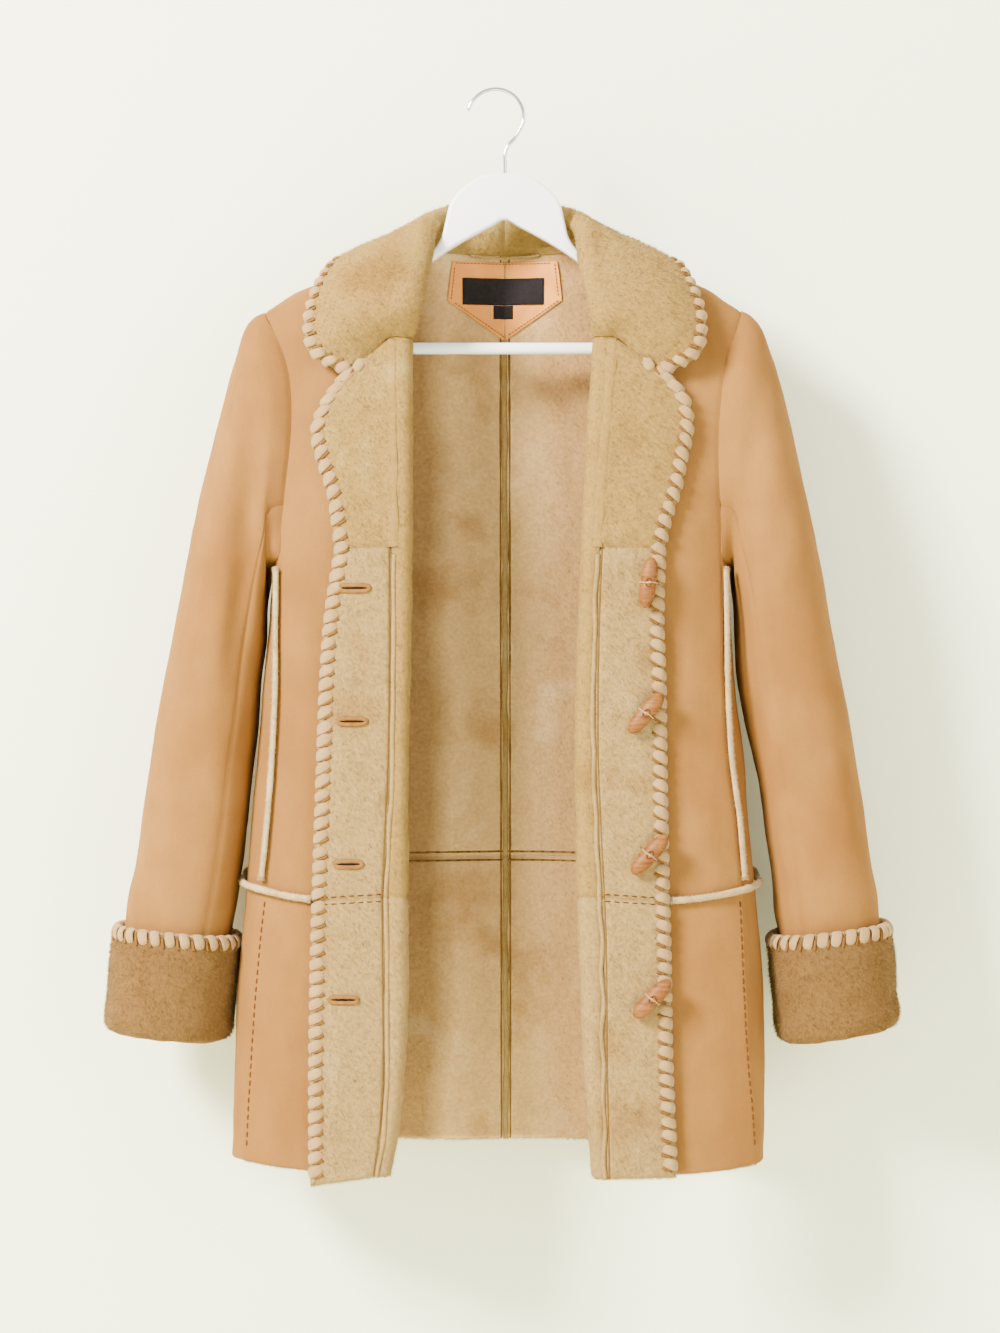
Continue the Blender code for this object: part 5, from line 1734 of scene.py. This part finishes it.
def span_at(outline, x):
    hits = []
    for (ax, az), (bx, bz) in zip(outline, outline[1:] + outline[:1]):
        if min(ax, bx) <= x <= max(ax, bx):
            hits += [az, bz] if ax == bx else [mix(az, bz, (x - ax) / (bx - ax))]
    return max(hits), min(hits)


def build_loop():
    """Hanging loop of two strands twisted together, between its sewn ends."""
    low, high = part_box("hanging_loop")
    y = (low[1] + high[1]) / 2 / MM
    x0, x1, z, drop = LOOP
    bundle = Bundle()
    steps = 150
    for phase in (0, math.pi):
        path = []
        for k in range(steps + 1):
            t = k / steps
            turn = t * 2 * math.pi * 15 + phase
            centre_z = z - drop * 4 * t * (1 - t)
            path.append((mix(x0, x1, t), y + 0.62 * math.cos(turn), centre_z + 0.62 * math.sin(turn)))
        bundle.add(*sweep(np.array(path), 0.72, 0.72, (0.0, -1.0, 0.1), sides=8))
    bundle.piece("loop_strands", "cord", ("hanging_loop",), "cord")


def build_hanger_pieces():
    outline = list(HANGER_TOP) + list(HANGER_LOWER)
    data = bpy.data.curves.new("hanger_shape", "CURVE")
    data.dimensions = "2D"
    data.fill_mode = "BOTH"
    inset = 3.2
    data.extrude = (HANGER_HALF_DEPTH - inset) * MM
    data.bevel_depth = inset * MM
    data.bevel_resolution = 5
    data.offset = -inset * MM
    mirrored = [(-x, z) for x, z in outline[-2:0:-1]]
    loop = np.array([(x, z, 0) for x, z in outline + mirrored], float)[:, None]
    fine, _ = refine(loop, True, 3.0)
    spline = data.splines.new("POLY")
    spline.points.add(len(fine) - 1)
    for target, (x, z, _) in zip(spline.points, fine[:, 0]):
        target.co = (x * MM, z * MM, 0, 1)
    spline.use_cyclic_u = True
    shape = bpy.data.objects.new("hanger_shape", data)
    COLLECTION.objects.link(shape)
    bpy.context.view_layer.update()
    mesh = bpy.data.meshes.new_from_object(shape.evaluated_get(bpy.context.evaluated_depsgraph_get()))
    bpy.data.objects.remove(shape)
    tidy = bmesh.new()
    tidy.from_mesh(mesh)
    bmesh.ops.remove_doubles(tidy, verts=tidy.verts, dist=1e-6)
    for vertex in tidy.verts:
        x, z, y = vertex.co
        vertex.co = (x + CENTRE_X * MM, -y, z)
    bmesh.ops.recalc_face_normals(tidy, faces=tidy.faces)
    tidy.to_mesh(mesh)
    tidy.free()
    mesh.materials.clear()
    mesh.polygons.foreach_set("use_smooth", np.ones(len(mesh.polygons), bool))
    mesh.set_sharp_from_angle(angle=math.radians(40))
    place_piece("hanger_wood", mesh, ("paint",), ("hanger_arms",))
    bar = [(x, 0, BAR_Z) for x in np.linspace(-BAR_HALF_LENGTH, BAR_HALF_LENGTH, 24)]
    points, faces = sweep(bar, BAR_RADIUS, BAR_RADIUS, (0.0, 0.0, 1.0), sides=32)
    new_piece("bar_round", points, faces, ("paint",), replaces=("trouser_bar",))
    route = []
    for step in range(41):
        angle = math.radians(168 - 180 * step / 40)
        route.append((HOOK_ARC * math.cos(angle) - CENTRE_X, 0, HOOK_ARC * (math.sin(angle) - 1) + HOOK_WIRE))
    stem = np.array([(x, 0, z) for x, z in (route[-1][::2],) + HOOK_STEM], float)
    stem, _ = refine(stem[:, None], False, 1.2)
    route = np.vstack((route, stem[1:, 0]))
    tip = np.clip(np.arange(len(route)) / 2 + 0.45, 0, 1) ** 0.5
    points, faces = sweep(route, HOOK_WIRE * tip, HOOK_WIRE * tip, (0.0, -1.0, 0.0), 20)
    new_piece("hook_wire", points, faces, ("steel",), replaces=("hook",))


build_label_pieces()
build_loop()
build_hanger_pieces()

# ---------------------------------------------------------------- room, lights and camera

ROOM_WALL_Y = 0.098
WORLD_STRENGTH = 1.48
CAMERA_DISTANCE = 2.6
VIEW_HEIGHT = 1.1464     # height of the picture at the coat's own distance

def plane(name, corners, material):
    data = bpy.data.meshes.new(name)
    data.from_pydata(corners, [], [(0, 1, 2, 3)])
    data.materials.append(material)
    thing = bpy.data.objects.new(name, data)
    bpy.context.scene.collection.objects.link(thing)
    return thing


def make_room():
    """Plain wall and floor; the wall is clear from behind, so views from the back see the coat."""
    wall = plain_material("room_wall", (0.945, 0.955, 0.71), (0.95, 0.96, 0.715), 0.95, 3)
    open_wall = wall.copy()
    open_wall.name = "room_wall_open"
    tree = open_wall.node_tree
    mixed = tree.nodes.new("ShaderNodeMixShader")
    sources = (tree.nodes.new("ShaderNodeNewGeometry").outputs["Backfacing"],
               tree.nodes["Principled BSDF"].outputs[0],
               tree.nodes.new("ShaderNodeBsdfTransparent").outputs[0])
    for source, target in zip(sources, mixed.inputs):
        tree.links.new(source, target)
    tree.links.new(mixed.outputs[0], tree.nodes["Material Output"].inputs[0])
    far, near, low, high = ROOM_WALL_Y, -6, -1.8, 5
    plane("room_back", [(-6, far, -5), (6, far, -5), (6, far, high), (-6, far, high)], open_wall)
    plane("room_floor", [(-6, far, low), (6, far, low), (6, near, low), (-6, near, low)], wall)


def area_light(name, place, aim, size, power, colour):
    data = bpy.data.lights.new(name, "AREA")
    data.shape = "RECTANGLE"
    data.size, data.size_y = size
    data.energy = power
    data.color = colour
    thing = bpy.data.objects.new(name, data)
    thing.location = place
    thing.rotation_euler = (Vector(aim) - Vector(place)).to_track_quat("-Z", "Y").to_euler()
    bpy.context.scene.collection.objects.link(thing)


def make_lights():
    world = bpy.data.worlds.new("studio")
    world.use_nodes = True
    background = world.node_tree.nodes["Background"]
    background.inputs["Color"].default_value = (1.0, 0.99, 0.97, 1)
    background.inputs["Strength"].default_value = WORLD_STRENGTH
    bpy.context.scene.world = world
    area_light("key", (-2.1, -2.1, 1.2), (0.05, 0, -0.45), (0.9, 0.9), 585, (1.0, 0.97, 0.93))
    area_light("fill", (2.2, -2.6, -0.1), (0, 0, -0.5), (2.0, 2.0), 80, (1.0, 0.99, 0.98))


def make_camera():
    data = bpy.data.cameras.new("camera")
    data.sensor_fit = "VERTICAL"
    data.angle = 2 * math.atan(VIEW_HEIGHT / 2 / CAMERA_DISTANCE)
    thing = bpy.data.objects.new("camera", data)
    thing.location = (0.0037, -CAMERA_DISTANCE, -0.495)
    thing.rotation_euler = (math.pi / 2, 0, 0)
    bpy.context.scene.collection.objects.link(thing)
    bpy.context.scene.camera = thing


make_room()
make_lights()
make_camera()

def declare_sheets():
    """Goes through each panel's faces and keeps nothing of them."""
    for name, wall in WALLS.items():
        corner = np.array(wall.faces())


declare_sheets()
